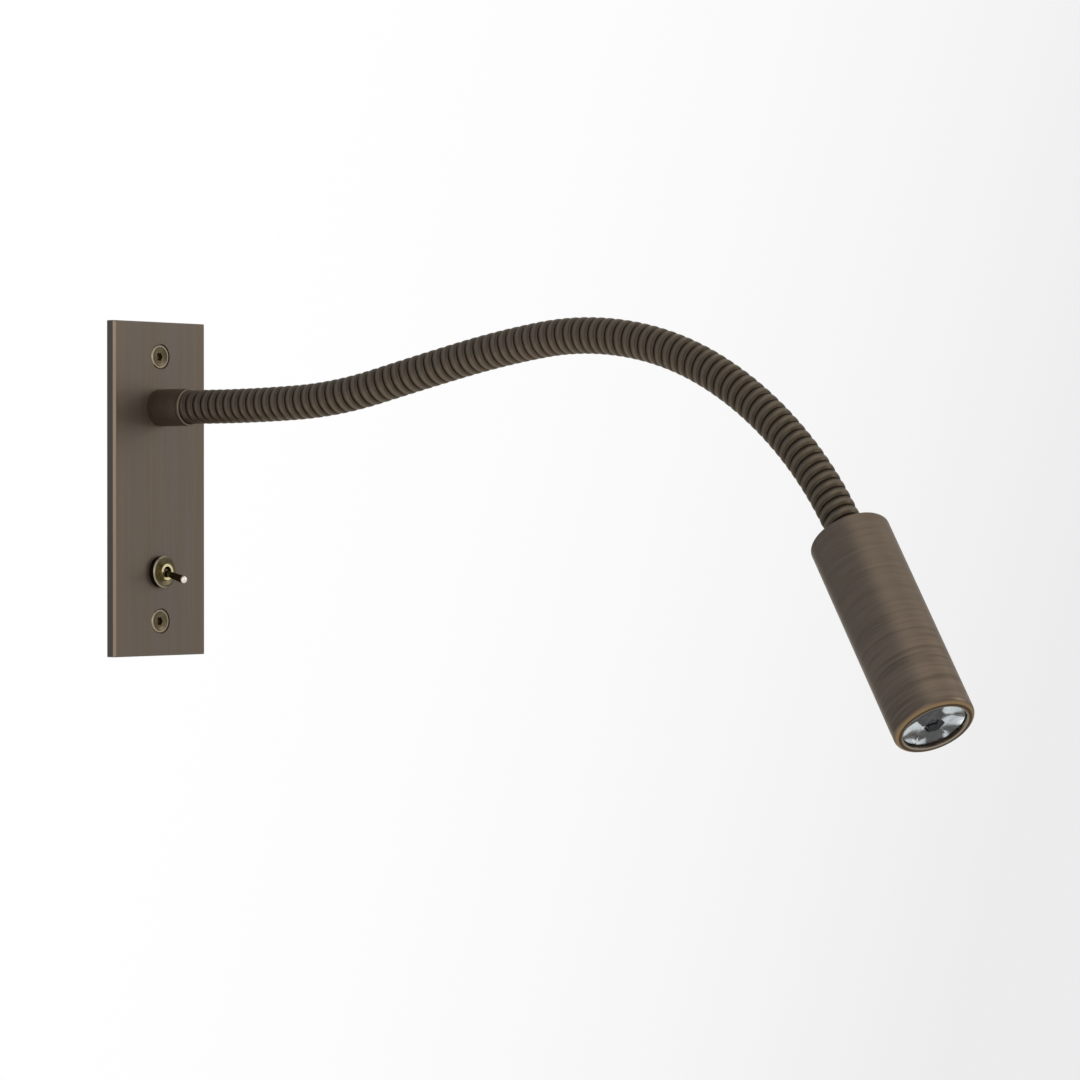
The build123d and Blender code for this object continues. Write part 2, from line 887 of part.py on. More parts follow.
def pierced_disc(distance, radius, thickness):
    """Disc across the head with holes for the cores and the board screws."""
    disc = rod(head(distance), radius, thickness)
    for side in (1, -1):
        hole = head(distance) * Pos(side * core_hole_offset, 0) * Circle(core_hole_radius)
        disc -= extrude(hole, thickness)
        place = head(distance) * Pos(0, side * board_screw_offset)
        disc -= extrude(place * Circle(board_screw_radius + fit), thickness)
    return disc


def thermal_pad():
    return pierced_disc(sink_front, board_radius, thermal_pad_thickness)


def led_board():
    return pierced_disc(board_back, board_radius, board_thickness)


def led_emitter():
    """Square package with a small domed lens."""
    base = bar(head(board_front), emitter_size, emitter_size, emitter_height)
    top = board_front + emitter_height
    dome = Pos(head(top).origin) * Sphere(emitter_dome)
    dome &= rod(head(top), emitter_dome + spare, emitter_dome + spare)
    return base + dome


def board_screws():
    """Two pan head screws through the board into the heat sink."""
    screws = []
    for side in (1, -1):
        place = head(board_front) * Pos(0, side * board_screw_offset)
        top = extrude(place * Circle(board_screw_head), board_screw_head_height)
        slot = head(board_front + board_screw_head_height - board_slot_depth)
        slot = slot * Pos(0, side * board_screw_offset)
        slot_length = 2 * (board_screw_head + spare)
        top -= extrude(slot * Rectangle(slot_width, slot_length), board_slot_depth + spare)
        shank = head(board_front - board_screw_length + board_thickness)
        shank = shank * Pos(0, side * board_screw_offset) * Circle(board_screw_radius)
        screws.append(top + extrude(shank, board_screw_length - board_thickness))
    return Compound(children=screws)


def head_cores():
    """Two cores from the sheath's end, through the heat sink, to the board's face."""
    cores = []
    for side in (1, -1):
        points = [
            head(sheath_in_head) * Pos(side * core_spacing / 2, 0),
            head(sheath_in_head + core_straight) * Pos(side * core_spacing / 2, 0),
            head(sink_back - core_rear_straight) * Pos(side * core_hole_offset, 0),
            head(board_front) * Pos(side * core_hole_offset, 0),
        ]
        cores.append(strand([p.position for p in points], core_sweep_radius, core_radius))
    return Compound(children=cores)


def solder_joints():
    """Solder domes where the cores meet the board."""
    domes = []
    for side in (1, -1):
        place = head(board_front) * Pos(side * core_hole_offset, 0)
        dome = Pos(place.position) * Sphere(solder_radius)
        dome &= extrude(place * Circle(2 * solder_radius), solder_height)
        domes.append(dome)
    return Compound(children=domes)


def lens_holder():
    """Plain sleeve that stands on the board's rim and carries the lens by its flange."""
    length = lens_front - lens_flange - sink_front
    outer = head_inner_radius - fit
    return tube(head(sink_front), outer, outer - holder_wall, length)


def collimator_lens():
    """Clear optic: flange, curved collimating wall and a well over the emitter."""
    rear = lens_rear
    rim = head_inner_radius - fit
    flange_back = lens_front - lens_flange
    middle = (lens_rear_radius + lens_front_radius) / 2
    crown = rear + lens_well_depth - lens_well_crown
    section = [
        Line((0, lens_front), (rim, lens_front)),
        Line((rim, lens_front), (rim, flange_back)),
        Line((rim, flange_back), (lens_front_radius, flange_back)),
        ThreePointArc(
            (lens_front_radius, flange_back),
            (middle + lens_wall_bow, rear + lens_depth / 2),
            (lens_rear_radius, rear),
        ),
        Line((lens_rear_radius, rear), (lens_well_radius, rear)),
        Line((lens_well_radius, rear), (lens_well_radius, rear + lens_well_depth)),
        Line((lens_well_radius, rear + lens_well_depth), (0, crown)),
        Line((0, crown), (0, lens_front)),
    ]
    profile = Plane.XZ * make_face(section)
    return head(0).location * revolve(profile, Axis.Z)


# ---------------------------------------------------------------- make every node

save("back_plate", back_plate())
save(
    "fixing_screws",
    Compound(children=[fixing_screw(side * screw_offset) for side in (1, -1)]),
)
save("neck_ferrule", neck_ferrule())
save("neck_nipple", neck_nipple())
save("nipple_washer", nipple_washer())
save("nipple_nut", nipple_nut())
save("neck_lead", neck_lead())
save("lead_tails", lead_tails())
save("block_pad", block_pad())
save("terminal_block", terminal_block())
save("terminal_inserts", terminal_inserts())
save("terminal_screws", terminal_screws())
save("switch_bushing", switch_bushing())
save("switch_dress_nut", switch_dress_nut())
save("switch_key_washer", switch_key_washer())
save("switch_back_nut", switch_back_nut())
save("switch_case", switch_case())
save("switch_terminals", switch_terminals())
save("switch_wires", switch_wires())
save("switch_rocker", switch_rocker())
save("switch_lever", switch_lever())
for number in range(neck_sections):
    save("neck_winding_" + str(number + 1).zfill(2), neck_section(number))
save("head_fitting", head_fitting())
save("head_cap", head_cap())
save("head_washer", head_washer())
save("head_nut", head_nut())
save("head_shell", head_shell())
save("retaining_ring", retaining_ring())
save("heat_sink", heat_sink())
save("thermal_pad", thermal_pad())
save("led_board", led_board())
save("led_emitter", led_emitter())
save("board_screws", board_screws())
save("solder_joints", solder_joints())
save("head_cores", head_cores())
save("lens_holder", lens_holder())
save("collimator_lens", collimator_lens())

# places that the joints turn about
for number, joint in enumerate(joints):
    print("joint", number + 1, joint.point, "ahead", joint.ahead, "side", joint.side, "up", joint.up)
print("head back", head_back.point, "direction", head_back.ahead)
print("lever pivot", (0, lever_pivot, switch_height))
print("rocker pivot", (0, rocker_pivot(), switch_height))
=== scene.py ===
# %% [markdown]
# # A bedside reading lamp on a gooseneck
#
# This lesson dresses a wall lamp: an upright bronze plate with a toggle switch, a long
# gooseneck wound from steel strip, and a slim LED head. Every solid comes from the CAD
# model and stays where it is. Here the solids get their finishes, and three things are
# made anew because their look is in their surface: the strip of the neck, the sheathed
# lead inside it and the clear optic in the head.
#
# The first cell loads the model. The box round it is kept, so that the last cell can
# show that the dressed lamp is no larger.

# %% Load the lamp
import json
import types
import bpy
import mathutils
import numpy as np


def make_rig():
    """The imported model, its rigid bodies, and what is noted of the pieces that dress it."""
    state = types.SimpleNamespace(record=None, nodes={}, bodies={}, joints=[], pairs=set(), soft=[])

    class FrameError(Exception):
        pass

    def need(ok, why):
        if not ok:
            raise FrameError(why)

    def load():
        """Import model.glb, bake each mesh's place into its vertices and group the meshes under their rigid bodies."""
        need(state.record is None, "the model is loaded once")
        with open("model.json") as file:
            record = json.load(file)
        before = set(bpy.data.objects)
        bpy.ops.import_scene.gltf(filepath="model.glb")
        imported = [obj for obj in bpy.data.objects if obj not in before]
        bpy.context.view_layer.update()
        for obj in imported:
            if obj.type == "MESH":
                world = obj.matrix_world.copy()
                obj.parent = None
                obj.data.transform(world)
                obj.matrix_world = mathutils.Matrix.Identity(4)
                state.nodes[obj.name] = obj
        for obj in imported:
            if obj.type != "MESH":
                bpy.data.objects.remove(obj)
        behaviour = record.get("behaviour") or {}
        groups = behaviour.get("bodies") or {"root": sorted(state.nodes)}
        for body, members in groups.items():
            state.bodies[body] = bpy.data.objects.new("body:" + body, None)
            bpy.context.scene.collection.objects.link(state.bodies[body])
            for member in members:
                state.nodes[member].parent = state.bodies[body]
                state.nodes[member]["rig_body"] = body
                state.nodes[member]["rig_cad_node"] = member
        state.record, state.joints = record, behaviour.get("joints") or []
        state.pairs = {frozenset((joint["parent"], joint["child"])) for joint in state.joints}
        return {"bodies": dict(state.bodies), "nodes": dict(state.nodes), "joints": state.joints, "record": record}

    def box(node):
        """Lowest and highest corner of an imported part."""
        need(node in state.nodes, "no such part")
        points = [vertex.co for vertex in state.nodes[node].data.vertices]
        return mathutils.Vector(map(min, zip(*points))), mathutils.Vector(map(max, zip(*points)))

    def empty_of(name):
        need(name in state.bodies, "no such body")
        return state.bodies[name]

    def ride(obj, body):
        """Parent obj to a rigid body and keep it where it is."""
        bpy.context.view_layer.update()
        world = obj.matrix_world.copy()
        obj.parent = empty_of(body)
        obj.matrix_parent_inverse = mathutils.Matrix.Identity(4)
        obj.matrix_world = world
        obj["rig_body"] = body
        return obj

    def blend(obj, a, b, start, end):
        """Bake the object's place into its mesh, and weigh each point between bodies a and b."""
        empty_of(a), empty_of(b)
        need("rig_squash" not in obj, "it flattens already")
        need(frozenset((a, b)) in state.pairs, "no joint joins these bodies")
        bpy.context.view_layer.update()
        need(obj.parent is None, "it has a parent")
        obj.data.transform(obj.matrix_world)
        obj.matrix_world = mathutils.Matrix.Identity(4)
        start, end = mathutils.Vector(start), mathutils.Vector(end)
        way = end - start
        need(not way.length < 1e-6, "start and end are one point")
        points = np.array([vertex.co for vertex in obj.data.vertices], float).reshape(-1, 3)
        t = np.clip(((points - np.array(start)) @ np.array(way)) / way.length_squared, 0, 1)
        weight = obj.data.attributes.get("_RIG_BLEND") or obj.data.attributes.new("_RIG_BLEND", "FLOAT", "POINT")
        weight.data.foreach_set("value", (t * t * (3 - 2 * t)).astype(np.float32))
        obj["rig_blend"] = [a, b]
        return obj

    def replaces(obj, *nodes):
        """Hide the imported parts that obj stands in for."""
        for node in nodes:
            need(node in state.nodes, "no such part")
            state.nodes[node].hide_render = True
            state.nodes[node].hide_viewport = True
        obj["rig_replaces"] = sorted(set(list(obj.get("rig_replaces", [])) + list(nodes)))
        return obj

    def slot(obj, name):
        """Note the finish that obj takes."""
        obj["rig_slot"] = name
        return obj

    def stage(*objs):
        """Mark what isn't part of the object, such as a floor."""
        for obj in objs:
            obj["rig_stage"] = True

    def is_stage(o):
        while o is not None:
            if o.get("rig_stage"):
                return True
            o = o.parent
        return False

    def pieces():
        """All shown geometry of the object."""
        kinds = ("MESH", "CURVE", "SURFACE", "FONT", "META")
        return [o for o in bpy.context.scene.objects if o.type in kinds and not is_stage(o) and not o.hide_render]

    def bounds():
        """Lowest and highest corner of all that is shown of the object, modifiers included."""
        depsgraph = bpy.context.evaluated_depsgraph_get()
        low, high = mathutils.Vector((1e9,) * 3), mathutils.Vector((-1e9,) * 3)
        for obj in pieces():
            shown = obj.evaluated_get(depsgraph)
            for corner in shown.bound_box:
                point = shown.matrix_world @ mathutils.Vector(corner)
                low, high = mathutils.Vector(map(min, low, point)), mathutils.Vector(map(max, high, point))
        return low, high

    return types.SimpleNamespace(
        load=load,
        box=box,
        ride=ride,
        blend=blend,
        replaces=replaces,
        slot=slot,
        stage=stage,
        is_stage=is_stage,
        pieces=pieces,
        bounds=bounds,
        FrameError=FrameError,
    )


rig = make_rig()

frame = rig.load()
cad_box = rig.bounds()

import json
import math
from collections import namedtuple

import bpy
import numpy as np
from mathutils import Matrix, Vector

mm = 0.001
print("lamp", [round((high - low) / mm, 1) for low, high in zip(*cad_box)], "mm")

# %% [markdown]
# ## The camera
#
# The lamp is photographed from its front left, a little over fifty degrees round from
# straight ahead and almost level, with a long lens that keeps the plate's edges nearly
# parallel. A long lens far away is the right choice for a small product: a wide one close
# by would swell the head. The lamp isn't in the middle of the picture, so the camera
# stands a little to the side of the line through the plate instead of turning or shifting.

# %% Camera
picture_width = 1080  # pixels
focal_pixels = 4180.9  # the focal length, in the same pixels
view_turn = math.radians(50.15)
view_tilt = math.radians(0.381)
camera_distance = 1631.4 * mm
camera_aside = 150.9 * mm
camera_below = 19.9 * mm
sensor_width = 36  # mm
nearest, farthest = 0.05, 100  # metres, between which the camera sees


def camera_axes(turn, tilt):
    """Right, up and backward directions of a camera that is turned round the lamp."""
    right = Vector((math.cos(turn), -math.sin(turn), 0))
    backward = Vector(
        (-math.sin(turn) * math.cos(tilt), -math.cos(turn) * math.cos(tilt), math.sin(tilt))
    )
    return right, backward.cross(right), backward


view_right, view_up, view_back = camera_axes(view_turn, view_tilt)
camera_data = bpy.data.cameras.new("camera")
camera_data.sensor_width = sensor_width
camera_data.lens = focal_pixels / picture_width * sensor_width
camera_data.clip_start = nearest
camera_data.clip_end = farthest
camera = bpy.data.objects.new("camera", camera_data)
bpy.context.scene.collection.objects.link(camera)
camera.matrix_world = Matrix.Translation(
    view_back * camera_distance + view_right * camera_aside - view_up * camera_below
) @ Matrix((view_right, view_up, view_back)).transposed().to_4x4()
bpy.context.scene.camera = camera
print("lens", round(camera_data.lens, 1), "mm, camera at", camera.location[:])

# %% [markdown]
# ## Colours and nodes
#
# Finishes are written as the sRGB hex colours that one would pick from a sample card,
# and one function turns them to the linear values that shaders work in. A second small
# function adds a node with its settings and links, so that each material below reads as
# a list of what feeds what.

# %% Colour and node helpers
def linear(hex_colour):
    """A colour in sRGB hex digits as linear RGBA: a straight line up to 0.04045, a power above it."""
    srgb = np.array([int(hex_colour[i : i + 2], 16) / 255 for i in (1, 3, 5)])
    light = np.where(srgb <= 0.04045, srgb / 12.92, ((srgb + 0.055) / 1.055) ** 2.4)
    return (*[float(x) for x in light], 1.0)


def add(tree, kind, values=(), links=(), **settings):
    """One node, with its settings, the values of its inputs and the sockets that feed them."""
    node = tree.nodes.new(kind)
    for name, value in settings.items():
        setattr(node, name, value)
    for name, value in dict(values).items():
        node.inputs[name].default_value = value
    for name, source in dict(links).items():
        tree.links.new(source, node.inputs[name])
    return node


print("mid grey", linear("#808080")[0])

# %% [markdown]
# ## Light
#
# The lamp hangs in a white room. For the metal, what counts is not how much light falls
# on it but what it mirrors, so the world is bright where the camera or a reflection looks
# at it, and gives a plain even light elsewhere. The paper behind the lamp darkens a little
# to the right and downward, as the backdrop of the photograph does.

# %% World
backdrop_half = 0.129  # sine of the angle from the middle of the picture to its side
backdrop_drop = 0.16  # how much darker the paper is at the right side, in linear light
backdrop_curve = 2.2  # the power with which it darkens from left to right
backdrop_lean = -0.27  # upward part of the direction in which it darkens: below zero, so downward
room_light = 0.75


def seen_directly(tree):
    """1 for rays from the camera, from gloss and through glass, and 0 for diffuse light."""
    ray = add(tree, "ShaderNodeLightPath").outputs
    looks = add(
        tree, "ShaderNodeMath", links={0: ray["Is Camera Ray"], 1: ray["Is Glossy Ray"]},
        operation="MAXIMUM",
    )
    looks = add(
        tree, "ShaderNodeMath", links={0: looks.outputs[0], 1: ray["Is Transmission Ray"]},
        operation="MAXIMUM",
    )
    return looks.outputs[0]


world = bpy.data.worlds.new("white_room")
world.use_nodes = True
bpy.context.scene.world = world
tree = world.node_tree
tree.nodes.clear()
toward = add(tree, "ShaderNodeTexCoord").outputs["Generated"]
rightward = add(
    tree, "ShaderNodeVectorMath", links={0: toward}, operation="DOT_PRODUCT",
    values={1: view_right + view_up * backdrop_lean},
)
from_left = add(
    tree, "ShaderNodeMapRange", links={"Value": rightward.outputs["Value"]},
    values={"From Min": -backdrop_half, "From Max": backdrop_half},
)
darkening = add(
    tree, "ShaderNodeMath", links={0: from_left.outputs[0]}, operation="POWER",
    values={1: backdrop_curve},
)
paper_level = add(
    tree, "ShaderNodeMapRange", links={"Value": darkening.outputs[0]},
    values={"To Min": 1.0, "To Max": 1.0 - backdrop_drop},
)
even = add(tree, "ShaderNodeBackground", values={"Color": (1, 1, 1, 1), "Strength": room_light})
paper = add(tree, "ShaderNodeBackground", links={"Color": paper_level.outputs[0]})
room = add(
    tree, "ShaderNodeMixShader",
    links={0: seen_directly(tree), 1: even.outputs[0], 2: paper.outputs[0]},
)
add(tree, "ShaderNodeOutputWorld", links={"Surface": room.outputs[0]})
bpy.context.scene.view_settings.view_transform = "Standard"
print("room light", room_light, "paper falls by", backdrop_drop)

# %% [markdown]
# Two large soft boxes light the lamp, one from the front right and one from beside the
# camera. They are weak, because a brushed metal that mirrors a white room needs little
# more. The second gives the plate's left bevel its bright line: a bevel of 45 degrees
# there faces the camera.

# %% Lamps
def facing(place, target):
    """Matrix of a thing at a place whose -Z looks at a target."""
    look = (Vector(target) - Vector(place)).to_track_quat("-Z", "Y")
    return Matrix.Translation(place) @ look.to_matrix().to_4x4()


def soft_box(name, place, size, watts, target=(0, -0.2, 0)):
    """A square lamp with a soft edge to its shadows."""
    data = bpy.data.lights.new(name, "AREA")
    data.size = size
    data.energy = watts
    box = bpy.data.objects.new(name, data)
    bpy.context.scene.collection.objects.link(box)
    box.matrix_world = facing(place, target)


soft_box("key_lamp", place=(1.3, -1.7, 0.9), size=1.0, watts=6)
soft_box("camera_lamp", place=(-1.3, -1.35, 0.25), size=0.7, watts=1.2, target=(0, 0, 0))
print("lamps", [light.name for light in bpy.data.lights])

# %% [markdown]
# Brushed bronze in a room that is white all round would look like flat paint. A
# photographer hangs grey cloth where the metal should go darker. Here it is part of a
# sphere round the lamp, on the wall's side and to the left and up, with a faded edge. Only
# reflections see it. It gives the plate's edge, the neck and the left of the head their
# shade.
#
# The floor lies well below, since the lamp belongs beside a bed. It is a pale disc that
# fades out, so there is no horizon. Part of what the camera sees of it is plain paper
# white, and the rest is lit, so it keeps the lamp's shadow.

# %% Cloth
def stage_mesh(name, points, quads):
    """A piece of the studio, which isn't part of the lamp."""
    data = bpy.data.meshes.new(name)
    data.from_pydata(points.tolist(), [], quads.tolist())
    piece = bpy.data.objects.new(name, data)
    bpy.context.scene.collection.objects.link(piece)
    data.materials.append(bpy.data.materials.new(name))
    data.materials[0].use_nodes = True
    data.materials[0].node_tree.nodes.clear()
    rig.stage(piece)
    return piece, data.materials[0].node_tree


def grid_quads(rows, columns):
    """Quads between the neighbours of a grid of points whose rows are closed rings."""
    corner = np.arange(rows * columns).reshape(rows, columns)
    beside = np.roll(corner, -1, axis=1)
    return np.stack([corner[:-1], beside[:-1], beside[1:], corner[1:]], axis=-1).reshape(-1, 4)


cloth_middle = Vector((-0.45, 0.80, 0.40)).normalized()
cloth_radius = 2.6
cloth_level = 0.48
cloth_tone = (0.94, 1.03, 1.15, 1.0)  # the cloth is a cool grey
cloth_edge = 0.30, 0.50  # cosines from the middle between which the cloth fades in
cloth_rings = 30
ring_points = 72
first_tilt = 0.01  # radians from the middle to the first ring
spare_tilt = 0.02  # and from the cloth's edge to the last

# The cloth is a cap of a sphere. At an angle u from its middle and v round it, a point lies at the
# radius times (cos u m + sin u (cos v p + sin v q)).
tilt = np.linspace(first_tilt, math.acos(cloth_edge[0]) + spare_tilt, cloth_rings)[:, None]
around = np.linspace(0, 2 * math.pi, ring_points, endpoint=False)[None, :]
beside = cloth_middle.orthogonal().normalized()
across = cloth_middle.cross(beside)
cap = cloth_radius * (
    np.cos(tilt + 0 * around)[..., None] * np.array(cloth_middle)
    + (np.sin(tilt) * np.cos(around))[..., None] * np.array(beside)
    + (np.sin(tilt) * np.sin(around))[..., None] * np.array(across)
)
cloth, tree = stage_mesh("grey_cloth", cap.reshape(-1, 3), grid_quads(*cap.shape[:2]))
cloth.visible_camera = False
cloth.visible_diffuse = False
cloth.visible_transmission = False
cloth.visible_shadow = False
where = add(tree, "ShaderNodeTexCoord").outputs["Object"]
toward = add(tree, "ShaderNodeVectorMath", links={0: where}, operation="NORMALIZE")
near = add(
    tree, "ShaderNodeVectorMath", links={0: toward.outputs[0]}, operation="DOT_PRODUCT",
    values={1: cloth_middle},
)
cover = add(
    tree, "ShaderNodeMapRange", links={"Value": near.outputs["Value"]},
    values={"From Min": cloth_edge[0], "From Max": cloth_edge[1]}, interpolation_type="SMOOTHSTEP",
)
clear = add(tree, "ShaderNodeBsdfTransparent")
grey = add(tree, "ShaderNodeEmission", values={"Color": cloth_tone, "Strength": cloth_level})
faded = add(
    tree, "ShaderNodeMixShader",
    links={0: cover.outputs[0], 1: clear.outputs[0], 2: grey.outputs[0]},
)
add(tree, "ShaderNodeOutputMaterial", links={"Surface": faded.outputs[0]})
print("cloth", cloth.name, "at level", cloth_level)

# %% Floor
floor_height = -0.9
floor_radius = 3.0
floor_fade = 1.4  # the radius from which it fades out
floor_white = 0.6  # share of paper white in what the camera sees of it
floor_rings = 12
reach = np.linspace(1 * mm, floor_radius, floor_rings)[:, None]
level = np.full((floor_rings, ring_points), floor_height)
disc = np.stack([reach * np.cos(around), reach * np.sin(around), level], axis=-1)
_, tree = stage_mesh("floor", disc.reshape(-1, 3), grid_quads(*disc.shape[:2]))
where = add(tree, "ShaderNodeTexCoord").outputs["Object"]
flat = add(
    tree, "ShaderNodeVectorMath", links={0: where}, operation="MULTIPLY", values={1: (1, 1, 0)}
)
far = add(tree, "ShaderNodeVectorMath", links={0: flat.outputs[0]}, operation="LENGTH")
fade = add(
    tree, "ShaderNodeMapRange", links={"Value": far.outputs["Value"]},
    values={"From Min": floor_fade, "From Max": floor_radius}, interpolation_type="SMOOTHSTEP",
)
lit = add(tree, "ShaderNodeBsdfDiffuse", values={"Color": linear("#E6E6E4")})
white = add(tree, "ShaderNodeEmission", values={"Color": linear("#F7F7F6"), "Strength": 1.0})
white_share = add(
    tree, "ShaderNodeMath", links={0: seen_directly(tree)}, operation="MULTIPLY",
    values={1: floor_white},
)
paint = add(
    tree, "ShaderNodeMixShader",
    links={0: white_share.outputs[0], 1: lit.outputs[0], 2: white.outputs[0]},
)
clear = add(tree, "ShaderNodeBsdfTransparent")
faded = add(
    tree, "ShaderNodeMixShader",
    links={0: fade.outputs[0], 1: paint.outputs[0], 2: clear.outputs[0]},
)
add(tree, "ShaderNodeOutputMaterial", links={"Surface": faded.outputs[0]})
print("floor at", floor_height, "m, faded out at", floor_radius, "m")

# %% [markdown]
# ## Metal finishes
#
# The plate is steel or brass sheet with a brown antique plating, rubbed upright with an
# abrasive pad and lacquered. The rubbing leaves hairlines a tenth of a millimetre wide,
# too fine for the picture, so they are drawn about four times as wide. Each hairline is
# noise that is stretched along the rubbing: the size of its grain is written in
# millimetres along the three axes of the piece. The same grain drives a little colour, a
# little roughness and a shallow relief, because on real metal all three come from the
# same scratches.

# %% Grain and start of a material
# Lacquered patina stays dull at its rim, where bare metal would flash white.
edge_tint = (0.72, 0.69, 0.65, 1.0)


def start_material(name, metallic, roughness):
    """A material with its shader, and the place on the piece where a pattern is read."""
    material = bpy.data.materials.new(name)
    material.use_nodes = True
    shader = material.node_tree.nodes["Principled BSDF"]
    shader.inputs["Metallic"].default_value = metallic
    shader.inputs["Roughness"].default_value = roughness
    if metallic:
        shader.inputs["Specular Tint"].default_value = edge_tint
    where = add(material.node_tree, "ShaderNodeTexCoord").outputs["Object"]
    return material, material.node_tree, shader, where


def grain(tree, where, size_mm, detail=2.0, centre=(0, 0, 0), turn=(0, 0, 0)):
    """Noise from 0 to 1 whose grains have this size along the piece's own three axes."""
    placed = add(
        tree, "ShaderNodeMapping", links={"Vector": where}, vector_type="TEXTURE",
        values={"Location": centre, "Rotation": turn, "Scale": [size * mm for size in size_mm]},
    )
    noise = add(
        tree, "ShaderNodeTexNoise", links={"Vector": placed.outputs[0]},
        values={"Scale": 1.0, "Detail": detail, "Roughness": 0.55},
    )
    return noise.outputs["Fac"]


def spread(tree, value, low, high, start=0.3, stop=0.7):
    """A value that goes from low to high while another goes from start to stop."""
    return add(
        tree, "ShaderNodeMapRange", links={"Value": value},
        values={"From Min": start, "From Max": stop, "To Min": low, "To Max": high},
    ).outputs[0]


def tints(tree, value, *stops):
    """Colours along a value: pairs of position and sRGB hex."""
    node = add(tree, "ShaderNodeValToRGB", links={"Fac": value})
    ramp = node.color_ramp
    while len(ramp.elements) < len(stops):
        ramp.elements.new(0.5)
    for element, (position, colour) in zip(ramp.elements, stops):
        element.position = position
        element.color = linear(colour)
    return node.outputs["Color"]


def blended(tree, share, first, second):
    """Two colours mixed by a share."""
    node = add(tree, "ShaderNodeMix", data_type="RGBA")
    for index, source in ((0, share), (6, first), (7, second)):
        if isinstance(source, bpy.types.NodeSocket):
            tree.links.new(source, node.inputs[index])
        else:
            node.inputs[index].default_value = source
    return node.outputs[2]


def relief(tree, shader, height, depth_mm):
    """Shallow relief from a height of 0 to 1."""
    bump = add(
        tree, "ShaderNodeBump", links={"Height": height},
        values={"Distance": depth_mm * mm, "Strength": 1.0},
    )
    tree.links.new(bump.outputs["Normal"], shader.inputs["Normal"])


def wear(material, *names):
    """Give one material to CAD nodes, by name."""
    for name in names:
        slots = frame["nodes"][name].data.materials
        slots.clear()
        slots.append(material)
    print(material.name, "on", ", ".join(names))


print("edge tint", edge_tint[:3])

# %% Brushed bronze plate
plate_low, plate_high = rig.box("back_plate")
border_width = 9 * mm  # the browner border along the upright edges
bevel_width = 0.9 * mm
bevel_steps = 0.05 * mm, 0.045 * mm  # over which the bevel's colour sets in, sideways and in depth
side_steps = 0.03 * mm, 0.01 * mm  # from the plate's side, between which the side's colour sets in


def plate_bronze():
    """Antique bronze on a brushed plate: upright hairlines, a browner border along the upright edges,
    a lighter bevel that is partly worn metal and partly a painted highlight, and painted shade on its side."""
    material, tree, shader, where = start_material("brushed_antique_bronze", 0.62, 0.38)
    hairline = grain(tree, where, (0.45, 8, 34), 3)
    band = grain(tree, where, (4.5, 30, 300), 2)
    colour = tints(tree, hairline, (0.30, "#62574B"), (0.70, "#6E6357"))
    stain = tints(tree, band, (0.35, "#66594C"), (0.65, "#67615C"))
    colour = blended(tree, 0.45, colour, stain)
    parts = add(tree, "ShaderNodeSeparateXYZ", links={"Vector": where}).outputs
    width = add(tree, "ShaderNodeMath", links={0: parts["X"]}, operation="ABSOLUTE").outputs[0]
    border = spread(tree, width, 0, 0.5, plate_high.x - border_width, plate_high.x)
    colour = blended(tree, border, colour, linear("#705F50"))
    # The bevel is painted lighter: partly metal worn through, partly a painted highlight where the bevel faces the
    # camera.
    bevel_edge, bevel_depth = plate_high.x - bevel_width, plate_low.y + bevel_width
    outer = spread(tree, width, 0, 1, bevel_edge, bevel_edge + bevel_steps[0])
    front = spread(tree, parts["Y"], 1, 0, bevel_depth, bevel_depth + bevel_steps[1])
    bevel = add(tree, "ShaderNodeMath", links={0: outer, 1: front}, operation="MULTIPLY")
    colour = blended(tree, bevel.outputs[0], colour, linear("#8C7C6B"))
    # The plate's side is painted darker: painted shade, where it faces away from the light.
    side = spread(tree, width, 0, 1, plate_high.x - side_steps[0], plate_high.x - side_steps[1])
    colour = blended(tree, side, colour, linear("#5A534E"))
    tree.links.new(colour, shader.inputs["Base Color"])
    tree.links.new(spread(tree, hairline, 0.30, 0.42), shader.inputs["Roughness"])
    relief(tree, shader, hairline, 0.006)
    return material


wear(plate_bronze(), "back_plate")

# %% [markdown]
# The head is the same bronze on a turned tube. It was finished on a lathe, so its
# hairlines run round it: short along the tube and long across. The tube hangs at a slant,
# so the pattern is turned to lie along it. A few rings are rubbed deeper than the rest.
# The front edge is warmer and lighter, partly as metal rubbed through, as edges are, and
# partly as a painted highlight. The wall of the opening is paler, partly bare metal and
# partly a painted highlight.

# %% The head's axis
def mesh_values(items, key, width):
    """One property of all the points or faces of a mesh, as an array."""
    values = np.empty(len(items) * width)
    items.foreach_get(key, values)
    return values.reshape(-1, width)


def turned_axis(data):
    """Middle and axis of a turned piece. The normals of its faces, weighted by area, spread evenly
    round the axis and least along it, so the axis is the last principal direction of the normals."""
    normals, areas, middles = (
        mesh_values(data.polygons, key, width)
        for key, width in (("normal", 3), ("area", 1), ("center", 3))
    )
    directions = np.linalg.eigh((normals * areas).T @ normals)[1]
    return (middles * areas).sum(axis=0) / areas.sum(), directions[:, 0]


def from_axis(points):
    """Distances of points from the head's axis."""
    return np.linalg.norm(np.cross(points - head_middle, along_head), axis=1)


shell = frame["nodes"]["head_shell"].data
shell_points = mesh_values(shell.vertices, "co", 3)
head_middle, along_head = turned_axis(shell)
if along_head[2] > 0:  # the head hangs down
    along_head = -along_head
head_reach = (shell_points - head_middle) @ along_head
head_back = head_middle + along_head * head_reach.min()
head_length = head_reach.max() - head_reach.min()
head_turn = Vector(along_head).to_track_quat("Z", "Y").to_euler()
lip_depth = 0.3 * mm  # the points nearer than this to the front are the lip's
opening_radius = from_axis(shell_points[head_reach > head_reach.max() - lip_depth]).min() / mm
print("head", round(head_length / mm, 1), "mm long, pointing", along_head.round(3))
print("opening", round(opening_radius, 2), "mm in radius")

